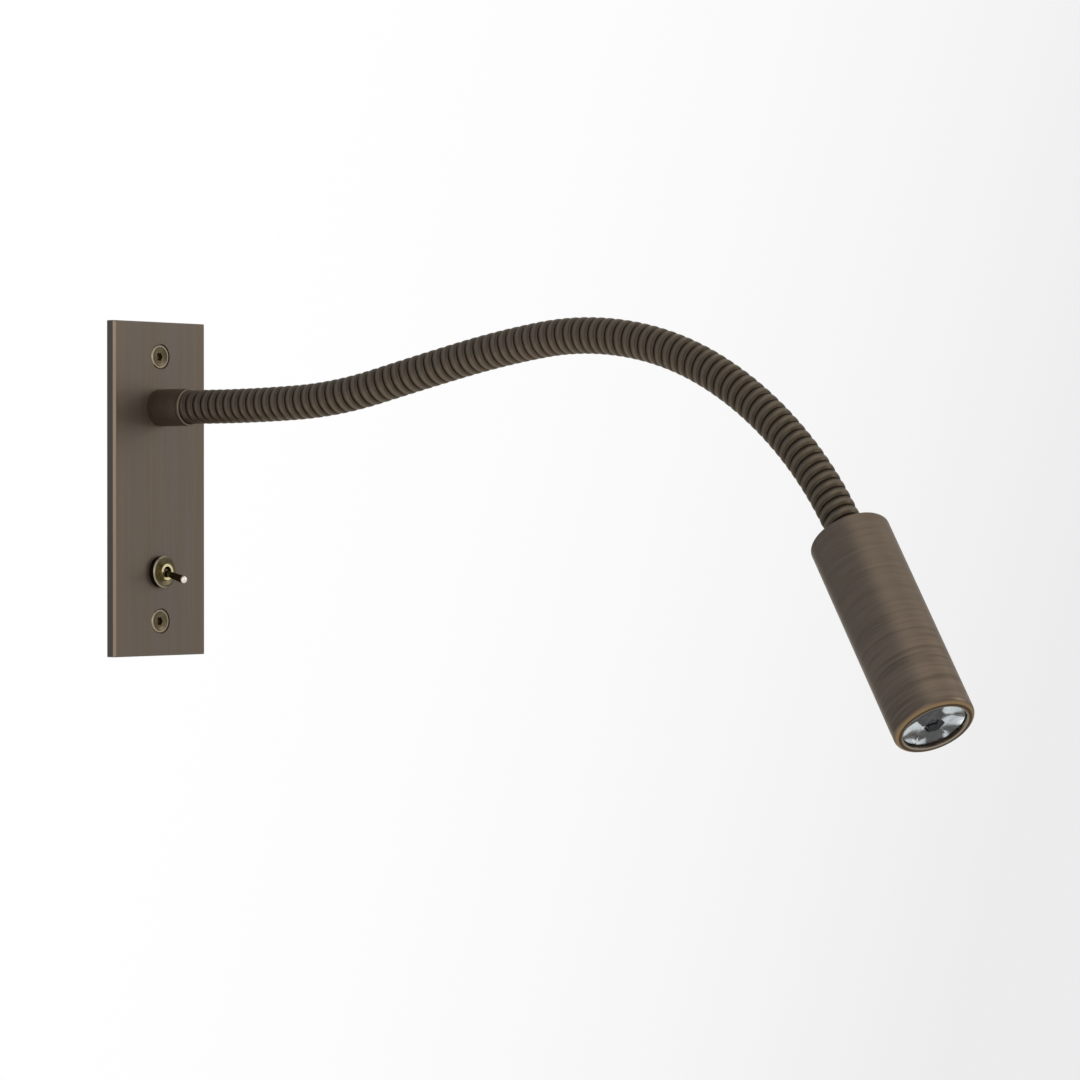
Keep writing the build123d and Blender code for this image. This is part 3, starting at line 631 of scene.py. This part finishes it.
# %% Turned bronze head
head_front = head_length / mm  # in mm from the head's back, as are the next three pairs
deep_rings = head_front * 0.45, head_front * 0.75
worn_and_highlit_edge = head_front - 0.9, head_front - 0.4
dark_face = head_front - 0.12, head_front - 0.05
bare_and_highlit_wall = opening_radius + 0.1, opening_radius + 0.4  # radii in mm


def head_place(tree, where):
    """Place on the head, in millimetres: Z is the distance from its back edge."""
    return add(
        tree, "ShaderNodeMapping", links={"Vector": where}, vector_type="TEXTURE",
        values={"Location": head_back, "Rotation": head_turn, "Scale": (mm, mm, mm)},
    ).outputs[0]


def head_bronze():
    """Antique bronze on a turned tube: rings round it, deeper toward the front, a warm edge that is
    partly worn metal and partly a painted highlight round a dark front face, and a paler wall in
    the opening that is partly bare metal and partly a painted highlight."""
    material, tree, shader, where = start_material("turned_antique_bronze", 0.92, 0.38)
    place = head_place(tree, where)
    distance = add(tree, "ShaderNodeSeparateXYZ", links={"Vector": place}).outputs["Z"]
    fine = grain(tree, where, (14, 14, 0.5), 3, head_back, head_turn)
    broad = grain(tree, where, (26, 26, 1.3), 2, head_back, head_turn)
    colour = tints(tree, fine, (0.30, "#665A4E"), (0.70, "#796B5E"))
    colour = blended(tree, 0.5, colour, tints(tree, broad, (0.35, "#685B4F"), (0.65, "#766859")))
    deep = tints(tree, broad, (0.36, "#4C4035"), (0.50, "#706255"), (0.60, "#796B5D"))
    colour = blended(tree, spread(tree, distance, 0, 0.32, *deep_rings), colour, deep)
    # The front edge is painted warmer and lighter: partly worn metal, partly a painted highlight.
    edge_wear_and_highlight = spread(tree, distance, 0, 0.9, *worn_and_highlit_edge)
    colour = blended(tree, edge_wear_and_highlight, colour, linear("#937A58"))
    colour = blended(tree, spread(tree, distance, 0, 1, *dark_face), colour, linear("#4E4032"))
    flat = add(
        tree, "ShaderNodeVectorMath", links={0: place}, operation="MULTIPLY", values={1: (1, 1, 0)}
    )
    radius = add(tree, "ShaderNodeVectorMath", links={0: flat.outputs[0]}, operation="LENGTH")
    # The opening's wall is painted pale: partly bare metal, partly a painted highlight where the wall catches light.
    wall = spread(tree, radius.outputs["Value"], 1, 0, *bare_and_highlit_wall)
    wall = add(tree, "ShaderNodeMath", links={0: wall, 1: edge_wear_and_highlight}, operation="MULTIPLY").outputs[0]
    colour = blended(tree, wall, colour, linear("#948B7E"))
    tree.links.new(colour, shader.inputs["Base Color"])
    tree.links.new(spread(tree, fine, 0.30, 0.44), shader.inputs["Roughness"])
    relief(tree, shader, blended(tree, 0.4, fine, broad), 0.012)
    return material


wear(head_bronze(), "head_shell", "head_cap")


# %% Second colours on a finish
def with_painted_light_and_tone(material, share_of, colour):
    """The same finish with a second colour in one place, used for painted highlights, painted shade and
    one lighter ring. share_of makes the share of that colour from a place on the piece."""
    tree = material.node_tree
    base = tree.nodes["Principled BSDF"].inputs["Base Color"]
    where = add(tree, "ShaderNodeTexCoord").outputs["Object"]
    tree.links.new(blended(tree, share_of(tree, where), base.links[0].from_socket, linear(colour)), base)
    return material


def ring(height, start, stop):
    """Share that rises from 0 to 1 between two radii round a line straight out from the wall, which is at
    this height above the plate's middle and again as far below it."""

    def share(tree, where):
        parts = add(tree, "ShaderNodeSeparateXYZ", links={"Vector": where}).outputs
        z = add(tree, "ShaderNodeMath", links={0: parts["Z"]}, operation="ABSOLUTE").outputs[0]
        z = add(tree, "ShaderNodeMath", links={0: z}, operation="SUBTRACT", values={1: height}).outputs[0]
        flat = add(tree, "ShaderNodeCombineXYZ", links={"X": parts["X"], "Y": z}).outputs[0]
        far = add(tree, "ShaderNodeVectorMath", links={0: flat}, operation="LENGTH").outputs["Value"]
        return spread(tree, far, 0, 1, start, stop)

    return share


def outward(start, stop):
    """Share that rises from 0 to 1 between two distances from the wall's face."""

    def share(tree, where):
        depth = add(tree, "ShaderNodeSeparateXYZ", links={"Vector": where}).outputs["Y"]
        return spread(tree, depth, 0, 1, -start, -stop)

    return share

nut_low, nut_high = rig.box("switch_dress_nut")
nut_front = -nut_low.y
screw_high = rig.box("fixing_screws")[1]
ferrule_front = -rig.box("neck_ferrule")[0].y
lever_tip = -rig.box("switch_lever")[0].y
switch_height = abs(nut_low.z + nut_high.z) / 2
screw_height = screw_high.z - screw_high.x

# Each second colour sets in between two distances from the wall, or between two radii.
ferrule_edge = outward(ferrule_front - 0.5 * mm, ferrule_front - 0.2 * mm)
# The dress nut's pale rim is a painted highlight.
nut_rim_highlight = ring(switch_height, nut_high.x - 0.55 * mm, nut_high.x - 0.4 * mm)
# The dress nut's dark side wall is painted shade.
nut_side_shade = outward(nut_front - 0.45 * mm, nut_front - 0.65 * mm)
# The screws' pale rim is a painted highlight.
screw_rim_highlight = ring(screw_height, screw_high.x - 0.75 * mm, screw_high.x - 0.6 * mm)
# The lever's near-white tip is a painted highlight.
lever_tip_highlight = outward(lever_tip - 1.5 * mm, lever_tip - 1.2 * mm)
print("switch", round(switch_height / mm, 1), "mm below the middle, its lever's tip",
      round(lever_tip / mm, 1), "mm out")

# %% Dark ferrule, brass and plated fittings
patch_scale = 6  # a patch is this many times as large as the fine grain


def patinated(name, light, dark, roughness, grain_mm, depth_mm, metallic=1.0):
    """Metal or paint with an uneven skin: two tones in soft patches and a fine grain."""
    material, tree, shader, where = start_material(name, metallic, roughness)
    patch = grain(tree, where, (grain_mm * patch_scale,) * 3, 3)
    fine = grain(tree, where, (grain_mm,) * 3, 2)
    tone = add(tree, "ShaderNodeMix", links={2: patch, 3: fine}, values={0: 0.5})
    colour = tints(tree, tone.outputs[0], (0.36, dark), (0.64, light))
    tree.links.new(colour, shader.inputs["Base Color"])
    tree.links.new(spread(tree, fine, roughness - 0.05, roughness + 0.07), shader.inputs["Roughness"])
    relief(tree, shader, fine, depth_mm)
    return material


# Each finish has a light and a dark tone, a roughness, the size and the depth of its grain in
# mm, and a metallic share where it isn't plain metal.
ferrule_bronze = patinated("dark_bronze_satin", "#685B4D", "#584D40", 0.42, 0.5, 0.004, 0.75)
wear(with_painted_light_and_tone(ferrule_bronze, ferrule_edge, "#6E6353"), "neck_ferrule")
nut_brass = patinated("dark_antique_brass", "#675E48", "#4E4636", 0.30, 0.5, 0.004)
# The nut's pale rim is a painted highlight and its dark side is painted shade.
wear(with_painted_light_and_tone(with_painted_light_and_tone(nut_brass, nut_rim_highlight, "#989079"), nut_side_shade, "#3A3329"), "switch_dress_nut")
screw_brass = patinated("antique_brass", "#6B604C", "#544A3A", 0.30, 0.5, 0.004)
# The pale rim on the screw heads is a painted highlight.
wear(with_painted_light_and_tone(screw_brass, screw_rim_highlight, "#A2957F"), "fixing_screws")
lever_brass = patinated("browned_brass", "#574B3B", "#40372B", 0.28, 0.5, 0.003)
# The lever's near-white tip is a painted highlight.
wear(with_painted_light_and_tone(lever_brass, lever_tip_highlight, "#F2E9DE"), "switch_lever")
wear(patinated("bright_brass", "#E6DDB2", "#CDC18C", 0.20, 0.4, 0.003), "switch_bushing")
wear(
    patinated("plain_brass", "#C9A960", "#A88A48", 0.32, 0.5, 0.003),
    "terminal_inserts", "switch_terminals", "switch_rocker",
)
wear(
    patinated("zinc_plated_steel", "#B9B9B4", "#96968F", 0.34, 0.6, 0.003),
    "neck_nipple", "nipple_washer", "nipple_nut", "terminal_screws", "switch_key_washer",
    "switch_back_nut", "head_fitting", "head_washer", "head_nut", "retaining_ring",
    "board_screws", "solder_joints",
)
wear(patinated("turned_aluminium", "#D2D3D4", "#B4B5B6", 0.38, 0.4, 0.004), "heat_sink", "led_board")

# %% [markdown]
# ## Plastics and rubber
#
# Behind the plate sit moulded parts that show only from the back: a terminal block, the
# case of the switch, foam tape and wires. Each has the faint orange-peel skin of a
# moulding. In the head, a dark sleeve holds the optic over the LED and its small yellow
# dome.

# %% Moulded and rubber finishes
wear(patinated("block_polyamide", "#DEDCD2", "#CFCDC2", 0.5, 0.5, 0.006, 0.0), "terminal_block")
wear(patinated("switch_phenolic", "#232A45", "#1A2036", 0.42, 0.5, 0.006, 0.0), "switch_case")
wear(patinated("foam_tape", "#D8D8D4", "#BFC0BC", 0.85, 0.6, 0.03, 0.0), "block_pad")
wear(
    patinated("wire_insulation", "#8E2A22", "#7A211B", 0.48, 0.4, 0.005, 0.0),
    "lead_tails", "switch_wires", "head_cores",
)
wear(patinated("thermal_rubber", "#8C9095", "#7A7E83", 0.8, 0.3, 0.01, 0.0), "thermal_pad")
wear(patinated("dark_holder", "#26262A", "#1B1B1E", 0.45, 0.5, 0.006, 0.0), "lens_holder")
wear(patinated("emitter_silicone", "#D8B83A", "#C4A22E", 0.25, 0.3, 0.003, 0.0), "led_emitter")
lead_rubber = patinated("lead_rubber", "#26262A", "#1A1A1C", 0.6, 0.4, 0.01, 0.0)

# %% [markdown]
# ## A skin over a grid of points
#
# The optic, the strip and the lead are made anew, each as a grid of points: its rows are
# closed rings that follow one another along the piece. One function skins such a grid. The
# points of a ring run clockwise, seen from the piece's far end, and the corners of each
# face are listed so that the face then looks outward.

# %% Closed skins
def closed_sweep(name, grid, sharp_degrees):
    """A closed skin over a grid of rings: quads between neighbours, and a face over each end."""
    rows, columns = grid.shape[:2]
    quads = grid_quads(rows, columns)[:, ::-1]
    last_ring = (rows - 1) * columns
    ends = [list(range(columns)), list(range(last_ring, last_ring + columns))[::-1]]
    data = bpy.data.meshes.new(name)
    data.from_pydata(grid.reshape(-1, 3).tolist(), [], quads.tolist() + ends)
    data.polygons.foreach_set("use_smooth", [True] * len(data.polygons))
    data.set_sharp_from_angle(angle=math.radians(sharp_degrees))
    piece = bpy.data.objects.new(name, data)
    bpy.context.scene.collection.objects.link(piece)
    return piece


def mark(piece, key, domain, values):
    """A number at each point or face, which a material reads by its key."""
    layer = piece.data.attributes.new(key, "FLOAT", domain)
    layer.data.foreach_set("value", values.astype(np.float32).ravel())


print("a skin over 3 rings of 20 points has", len(grid_quads(3, 20)), "quads and 2 ends")

# %% [markdown]
# ## The optic
#
# Its curved wall sends the LED's light forward by total reflection, so from the front it
# looks like a mirror, and it is drawn as one. Its middle is moulded in two nested hexagonal
# steps. It is turned from one profile: a list of rings, each with a radius, a depth behind
# the front and how far it goes from a circle to a hexagon. A hexagon round a circle of
# radius r has the radius r / cos(a) at an angle a from the middle of the nearest side.

# %% Optic
lens_recess = 1.2  # mm from the head's front edge
lens_front = head_front - lens_recess
lens_points = mesh_values(frame["nodes"]["collimator_lens"].data.vertices, "co", 3)
rim_radius = from_axis(lens_points).max() / mm
# The dark part is painted shade: the dark of the well and the LED, seen through clear acrylic.
clear_part, mirror_part, painted_shade_part = 0.0, 0.5, 1.0
# Radius and depth behind the front in mm, share of a hexagon, and what the skin is from this
# ring to the next.
optic_rings = [
    (0.01, 1.5, 1, painted_shade_part), (1.8, 1.5, 1, painted_shade_part), (2.2, 0.8, 1, painted_shade_part), (2.8, 0.7, 1, painted_shade_part),
    (3.2, 0.0, 1, clear_part), (6.0, 0.0, 0, clear_part), (rim_radius, 0.0, 0, clear_part),
    (rim_radius, 1.4, 0, clear_part), (10.9, 1.4, 0, mirror_part), (9.0, 3.2, 0.3, mirror_part),
    (6.6, 5.4, 0.7, mirror_part), (4.2, 7.6, 1, mirror_part), (4.0, 13.8, 1, painted_shade_part),
    (2.6, 13.8, 0.5, painted_shade_part), (2.6, 7.8, 0, painted_shade_part), (1.3, 8.5, 0, painted_shade_part),
    (0.01, 8.7, 0, painted_shade_part),
]
optic_steps = 96
optic_sharp = 16  # degrees


def turned_optic():
    """Rings round the head's axis, from the middle of the optic's front over its rim to the bottom
    of its well."""
    radius, depth, share, part = (np.array(column)[:, None] for column in zip(*optic_rings))
    angle = np.linspace(0, 2 * math.pi, optic_steps, endpoint=False)[None, :]
    off_side = np.mod(angle, math.pi / 3) - math.pi / 6
    reach = radius * (1 + share * (1 / np.cos(off_side) - 1)) * mm
    across = np.array(view_right) - (np.array(view_right) @ along_head) * along_head
    across /= np.linalg.norm(across)
    upward = np.cross(along_head, across)
    points = (
        head_back
        + ((lens_front - depth) * mm + 0 * angle)[..., None] * along_head
        + (reach * np.cos(angle))[..., None] * across
        + (reach * np.sin(angle))[..., None] * upward
    )
    optic = closed_sweep("moulded_optic", points, optic_sharp)
    mark(optic, "optic_part", "FACE", np.append(np.repeat(part[:-1, 0], optic_steps), [painted_shade_part] * 2))
    return optic


def clear_optic():
    """Polished clear acrylic of index 1.49, mirror-bright on its curved wall, and dark with painted shade in its well.
    """
    material, tree, shader, where = start_material("clear_acrylic", 0.0, 0.03)
    shader.inputs["Transmission Weight"].default_value = 1.0
    shader.inputs["IOR"].default_value = 1.49
    part = add(tree, "ShaderNodeAttribute", attribute_name="optic_part").outputs["Fac"]
    solid = spread(tree, part, 0, 1, 0.2, 0.3)
    tree.links.new(solid, shader.inputs["Metallic"])
    waves = grain(tree, where, (3, 3, 3), 1)
    bright = tints(tree, waves, (0.3, "#E6EAEC"), (0.7, "#F4F6F7"))
    # The well is painted dark grey: painted shade.
    colour = blended(tree, spread(tree, part, 0, 1, 0.7, 0.8), bright, linear("#3A3B3C"))
    colour = blended(tree, solid, linear("#F6F8F9"), colour)
    tree.links.new(colour, shader.inputs["Base Color"])
    tree.links.new(spread(tree, part, 0.03, 0.12, 0.2, 0.3), shader.inputs["Roughness"])
    return material


optic = turned_optic()
optic.data.materials.append(clear_optic())
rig.ride(optic, "head")
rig.replaces(optic, "collimator_lens")
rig.slot(optic, "clear_optic")
print(optic.name, len(optic.data.polygons), "faces, rim", round(rim_radius, 2), "mm")

# %% [markdown]
# ## The line of the neck
#
# The neck's middle line is a chain of arcs: it leaves the wall straight, each stretch
# between two hinges is an arc of one circle, and a last short arc turns it into the head.
# The hinges' places are in the model, and with the head's axis they are enough. An arc
# that leaves a point in a known direction and reaches the next point is fixed, and its
# end direction is the start direction mirrored in its chord.

# %% Arcs between the hinges
Section = namedtuple("Section", "point ahead side length axle bend")


def unit(vector):
    """The same direction with a length of one."""
    return vector / np.linalg.norm(vector)


def turned(vector, axle, angle):
    """A vector turned round a unit axle, once for each angle: its part across the axle swings."""
    cosine, sine = np.cos(angle)[:, None], np.sin(angle)[:, None]
    along = (vector @ axle) * axle
    return vector * cosine + np.cross(axle, vector) * sine + along * (1 - cosine)


def arc(point, ahead, side, next_ahead, length):
    """A section that turns evenly from one direction to another."""
    angle = math.acos(ahead @ next_ahead)
    return Section(point, ahead, side, length, unit(np.cross(ahead, next_ahead)), angle / length)


def straight(point, ahead, side, length):
    """A section that doesn't turn. Its side direction stands in for the axle."""
    return Section(point, ahead, side, length, side, 0.0)


def last_side(section):
    """The side direction at a section's end."""
    return turned(section.side, section.axle, np.array([section.bend * section.length]))[0]


neck_hinges = [joint for joint in frame["joints"] if joint["name"].startswith("neck_")]
turning_points = np.array([joint["pos_m"] for joint in neck_hinges])
neck_start = np.array([0, -ferrule_front, turning_points[0, 2]])
lead_in = abs(turning_points[0, 1] - neck_start[1])
line_in_head = 20 * mm  # how far the middle line goes on past the head's back
ahead, side = np.array([0.0, -1.0, 0.0]), np.array([1.0, 0.0, 0.0])
sections = [straight(neck_start, ahead, side, lead_in)]
for start, stop in zip(turning_points[:-1], turning_points[1:]):
    chord = unit(stop - start)
    next_ahead = 2 * (ahead @ chord) * chord - ahead
    half_angle = math.acos(ahead @ next_ahead) / 2
    length = np.linalg.norm(stop - start) * half_angle / math.sin(half_angle)
    sections.append(arc(start, ahead, side, next_ahead, length))
    ahead, side = next_ahead, last_side(sections[-1])
sections.append(arc(stop, ahead, side, along_head, lead_in))
sections.append(straight(head_back, along_head, last_side(sections[-1]), line_in_head))
section_starts = np.cumsum([0] + [section.length for section in sections])
hinge_places, neck_length = section_starts[1:-2], section_starts[-2]
print("neck", round(neck_length / mm, 2), "mm in", len(sections) - 1, "sections")

# %% A place on the line
least_bend = 1e-9  # so that a straight section needs no formula of its own


def neck_line(distance):
    """Point, direction, side and up at distances along the neck. On an arc of bend b, a distance d
    turns the direction by b d, and the point moves by sin(b d)/b ahead and (1 - cos(b d))/b inward."""
    point, ahead, side = (np.empty((len(distance), 3)) for _ in range(3))
    index = np.searchsorted(section_starts, distance, side="right") - 1
    index = np.clip(index, 0, len(sections) - 1)
    for number, section in enumerate(sections):
        here = index == number
        past = distance[here] - section_starts[number]
        bend = max(section.bend, least_bend)
        inward = np.cross(section.axle, section.ahead)
        point[here] = (
            section.point
            + np.outer(np.sin(bend * past) / bend, section.ahead)
            + np.outer((1 - np.cos(bend * past)) / bend, inward)
        )
        ahead[here] = turned(section.ahead, section.axle, section.bend * past)
        side[here] = turned(section.side, section.axle, section.bend * past)
    return point, ahead, side, np.cross(ahead, side)


print("the neck ends", (neck_line(np.array([neck_length]))[0][0] / mm).round(2), "mm from the origin")

# %% [markdown]
# ## The wound strip
#
# A gooseneck of this kind is one long strip of steel, rolled to a section with a rounded
# back and a tongue, and wound into a tube so that each turn hooks over the tongue of the
# last. It could be drawn with a bump map on a tube, but then its outline would be smooth
# and no turn would open on the outside of a bend. So the strip's own section is carried
# along a helix. The section stays rigid, as steel does, and where the line bends the gaps
# between its turns open above and close below by themselves.

# %% Strip section and helix
turn_pitch = 4.0 * mm
strip_section = np.array(  # distance along the neck from the strip's middle, and radius
    [
        (-1.86, 5.92), (-1.78, 6.08), (-1.60, 6.24), (-1.32, 6.39), (-0.96, 6.50), (-0.50, 6.58),
        (0.0, 6.60), (0.50, 6.58), (0.96, 6.50), (1.32, 6.39), (1.60, 6.24), (1.78, 6.08), (1.86, 5.88),
        (2.60, 5.84), (2.60, 5.30), (-1.22, 5.30), (-1.22, 5.92),
    ]
) * mm
steps_per_turn = 56


def helix_points(first_turn, last_turn):
    """A grid of points, and how far along the neck each row is. At a turn angle a the strip's
    middle is at a distance of pitch a / 2 pi, on the side that is up cos(a) - side sin(a), and the
    section stands there, square to the line."""
    steps = round((last_turn - first_turn) * steps_per_turn)
    angle = np.linspace(first_turn, last_turn, steps + 1) * 2 * math.pi
    distance = angle / (2 * math.pi) * turn_pitch
    point, ahead, side, up = neck_line(distance)
    outside = up * np.cos(angle)[:, None] - side * np.sin(angle)[:, None]
    grid = (
        point[:, None]
        + ahead[:, None] * strip_section[None, :, :1]
        + outside[:, None] * strip_section[None, :, 1:]
    )
    return grid, distance


strip_radii = strip_section[:, 1]
strip_heights = (strip_radii - strip_radii.min()) / (strip_radii.max() - strip_radii.min())
print("strip", round(2 * strip_radii.max() / mm, 1), "mm thick, one turn in", turn_pitch / mm, "mm")

# %% Bronze on the strip
def strip_bronze():
    """Antique bronze on wound strip: painted shade in the gaps, crests lighter as partly worn metal and
    partly a painted highlight, browner toward the wall and greener toward the head, with soft patches and a fine
    grain."""
    material, tree, shader, where = start_material("wound_bronze_strip", 0.85, 0.38)
    height = add(tree, "ShaderNodeAttribute", attribute_name="strip_height").outputs["Fac"]
    along = add(tree, "ShaderNodeAttribute", attribute_name="neck_share").outputs["Fac"]
    crest = tints(
        tree, along, (0.0, "#4A3F36"), (0.15, "#52473B"), (0.5, "#5A4D41"), (0.72, "#4D4336"),
        (1.0, "#423A2D"),
    )
    patch = grain(tree, where, (2.2, 2.2, 2.2), 3)
    crest = blended(tree, spread(tree, patch, 0, 0.45), crest, linear("#625547"))
    # The thin light line on each crest is partly worn metal and partly a painted highlight.
    crest = blended(tree, spread(tree, height, 0, 0.4, 0.93, 0.99), crest, linear("#85796A"))
    # Low on the section, in the gaps between turns, the strip is painted dark: painted shade.
    colour = blended(tree, spread(tree, height, 0, 1, 0.45, 0.90), linear("#2C241C"), crest)
    tree.links.new(colour, shader.inputs["Base Color"])
    tree.links.new(spread(tree, patch, 0.34, 0.46), shader.inputs["Roughness"])
    relief(tree, shader, grain(tree, where, (0.5, 0.5, 0.5), 2), 0.006)
    return material


strip_finish = strip_bronze()

# %% Wind the strip
hidden_turns = 2.0  # inside the ferrule
hidden_end = 3.0 * mm  # inside the head
halfway_turns = 5  # from a hinge to the middle between two hinges
cut_turns = [float(round(place / turn_pitch + halfway_turns)) for place in hinge_places[:-1]]
start_turns = [-hidden_turns] + cut_turns
stop_turns = cut_turns + [(neck_length + hidden_end) / turn_pitch]
body_names = ["wall_unit"] + [f"neck_{number:02d}" for number in range(2, 10)] + ["head"]
rigid_start = 8 * mm  # the neck doesn't bend before this
bend_reach = 17 * mm  # how far the bending goes to each side of a hinge
tube_sharp = 38  # degrees


def bend_ends(hinge_place):
    """Points on the neck between which a piece passes from one body to the next."""
    reach = np.clip([hinge_place - bend_reach, hinge_place + bend_reach], rigid_start, neck_length)
    start, end = neck_line(reach)[0]
    return {"start": start, "end": end}


for number, (begin, end) in enumerate(zip(start_turns, stop_turns), 1):
    grid, distance = helix_points(begin, end)
    turns = closed_sweep(f"wound_strip_{number:02d}", grid, tube_sharp)
    mark(turns, "strip_height", "POINT", np.tile(strip_heights, (len(distance), 1)))
    mark(turns, "neck_share", "POINT", np.repeat(distance / neck_length, len(strip_section)))
    turns.data.materials.append(strip_finish)
    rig.blend(turns, body_names[number - 1], body_names[number], **bend_ends(hinge_places[number - 1]))
    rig.replaces(turns, f"neck_winding_{number:02d}", f"neck_winding_{number + 1:02d}")
    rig.slot(turns, "neck_bronze")
    print(turns.name, len(turns.data.polygons), "faces, turns", round(begin, 1), "to", round(end, 1))

# %% [markdown]
# ## The lead inside
#
# A round sheathed lead runs from the terminal block, round a bend behind the plate and
# through the whole neck. It has to bend with the neck, so it is cut where the strip is
# cut, halfway between hinges, and each length bends over one hinge.

# %% Sheath
lead_radius = 2.1 * mm
lead_bend = 8 * mm
lead_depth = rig.box("neck_lead")[1].y - lead_radius
lead_height = turning_points[0, 2]
lead_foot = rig.box("lead_tails")[1].z
lead_straight = lead_depth - lead_bend - neck_start[1]
tail_length = lead_straight + lead_bend * math.pi / 2 + (lead_height - lead_bend - lead_foot)
sheath_in_head = 16 * mm
sheath_sides = 20
tail_rings, length_rings = 60, 40  # behind the plate, and in each length inside the neck


def behind_plate(distance):
    """Middle line behind the plate, backward from the neck's start: straight, a quarter turn, then down."""
    run = np.minimum(distance, lead_straight)
    angle = np.clip((distance - lead_straight) / lead_bend, 0, math.pi / 2)
    drop = np.maximum(distance - lead_straight - lead_bend * math.pi / 2, 0)
    y = neck_start[1] + run + lead_bend * np.sin(angle)
    z = lead_height - lead_bend * (1 - np.cos(angle)) - drop
    point = np.stack([np.zeros_like(y), y, z], axis=1)
    ahead = np.stack([np.zeros_like(y), -np.cos(angle), np.sin(angle)], axis=1)
    side = np.tile([1.0, 0, 0], (len(y), 1))
    return point, ahead, side, np.cross(ahead, side)


def round_tube(name, line):
    """A round skin: at each place on a line, a ring of points at side cos(a) + up sin(a). The angle
    a runs backward, which is clockwise seen from the line's end."""
    point, _, side, up = line
    angle = np.linspace(0, 2 * math.pi, sheath_sides, endpoint=False)[::-1, None]
    circle = side[:, None] * np.cos(angle) + up[:, None] * np.sin(angle)
    tube = closed_sweep(name, point[:, None] + circle * lead_radius, tube_sharp)
    tube.data.materials.append(lead_rubber)
    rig.slot(tube, "lead_sheath")
    return tube


root = round_tube("lead_sheath_root", behind_plate(np.linspace(tail_length, 0, tail_rings)))
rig.ride(root, "wall_unit")
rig.replaces(root, "neck_lead")
cuts = [0.0] + [(a + b) / 2 for a, b in zip(hinge_places[:-1], hinge_places[1:])]
cuts.append(neck_length + sheath_in_head)
for number, (begin, end) in enumerate(zip(cuts[:-1], cuts[1:]), 1):
    line = neck_line(np.linspace(begin, end, length_rings))
    tube = round_tube(f"lead_sheath_{number:02d}", line)
    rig.blend(tube, body_names[number - 1], body_names[number], **bend_ends(hinge_places[number - 1]))
    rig.replaces(tube, "neck_lead")
print("sheath", round((tail_length + cuts[-1]) / mm, 1), "mm long in", len(cuts), "pieces")

# %% [markdown]
# ## Last look
#
# The dressed lamp is measured against the box of the CAD model, and the two are written
# down side by side.

# %% Measure and finish
dressed_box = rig.bounds()
with open("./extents.json", "w") as file:
    json.dump(
        {
            "cad": [list(corner) for corner in cad_box],
            "dressed": [list(corner) for corner in dressed_box],
        },
        file,
    )
print("grown by", [round((b - a) / mm, 2) for a, b in zip(cad_box[1], dressed_box[1])], "mm")
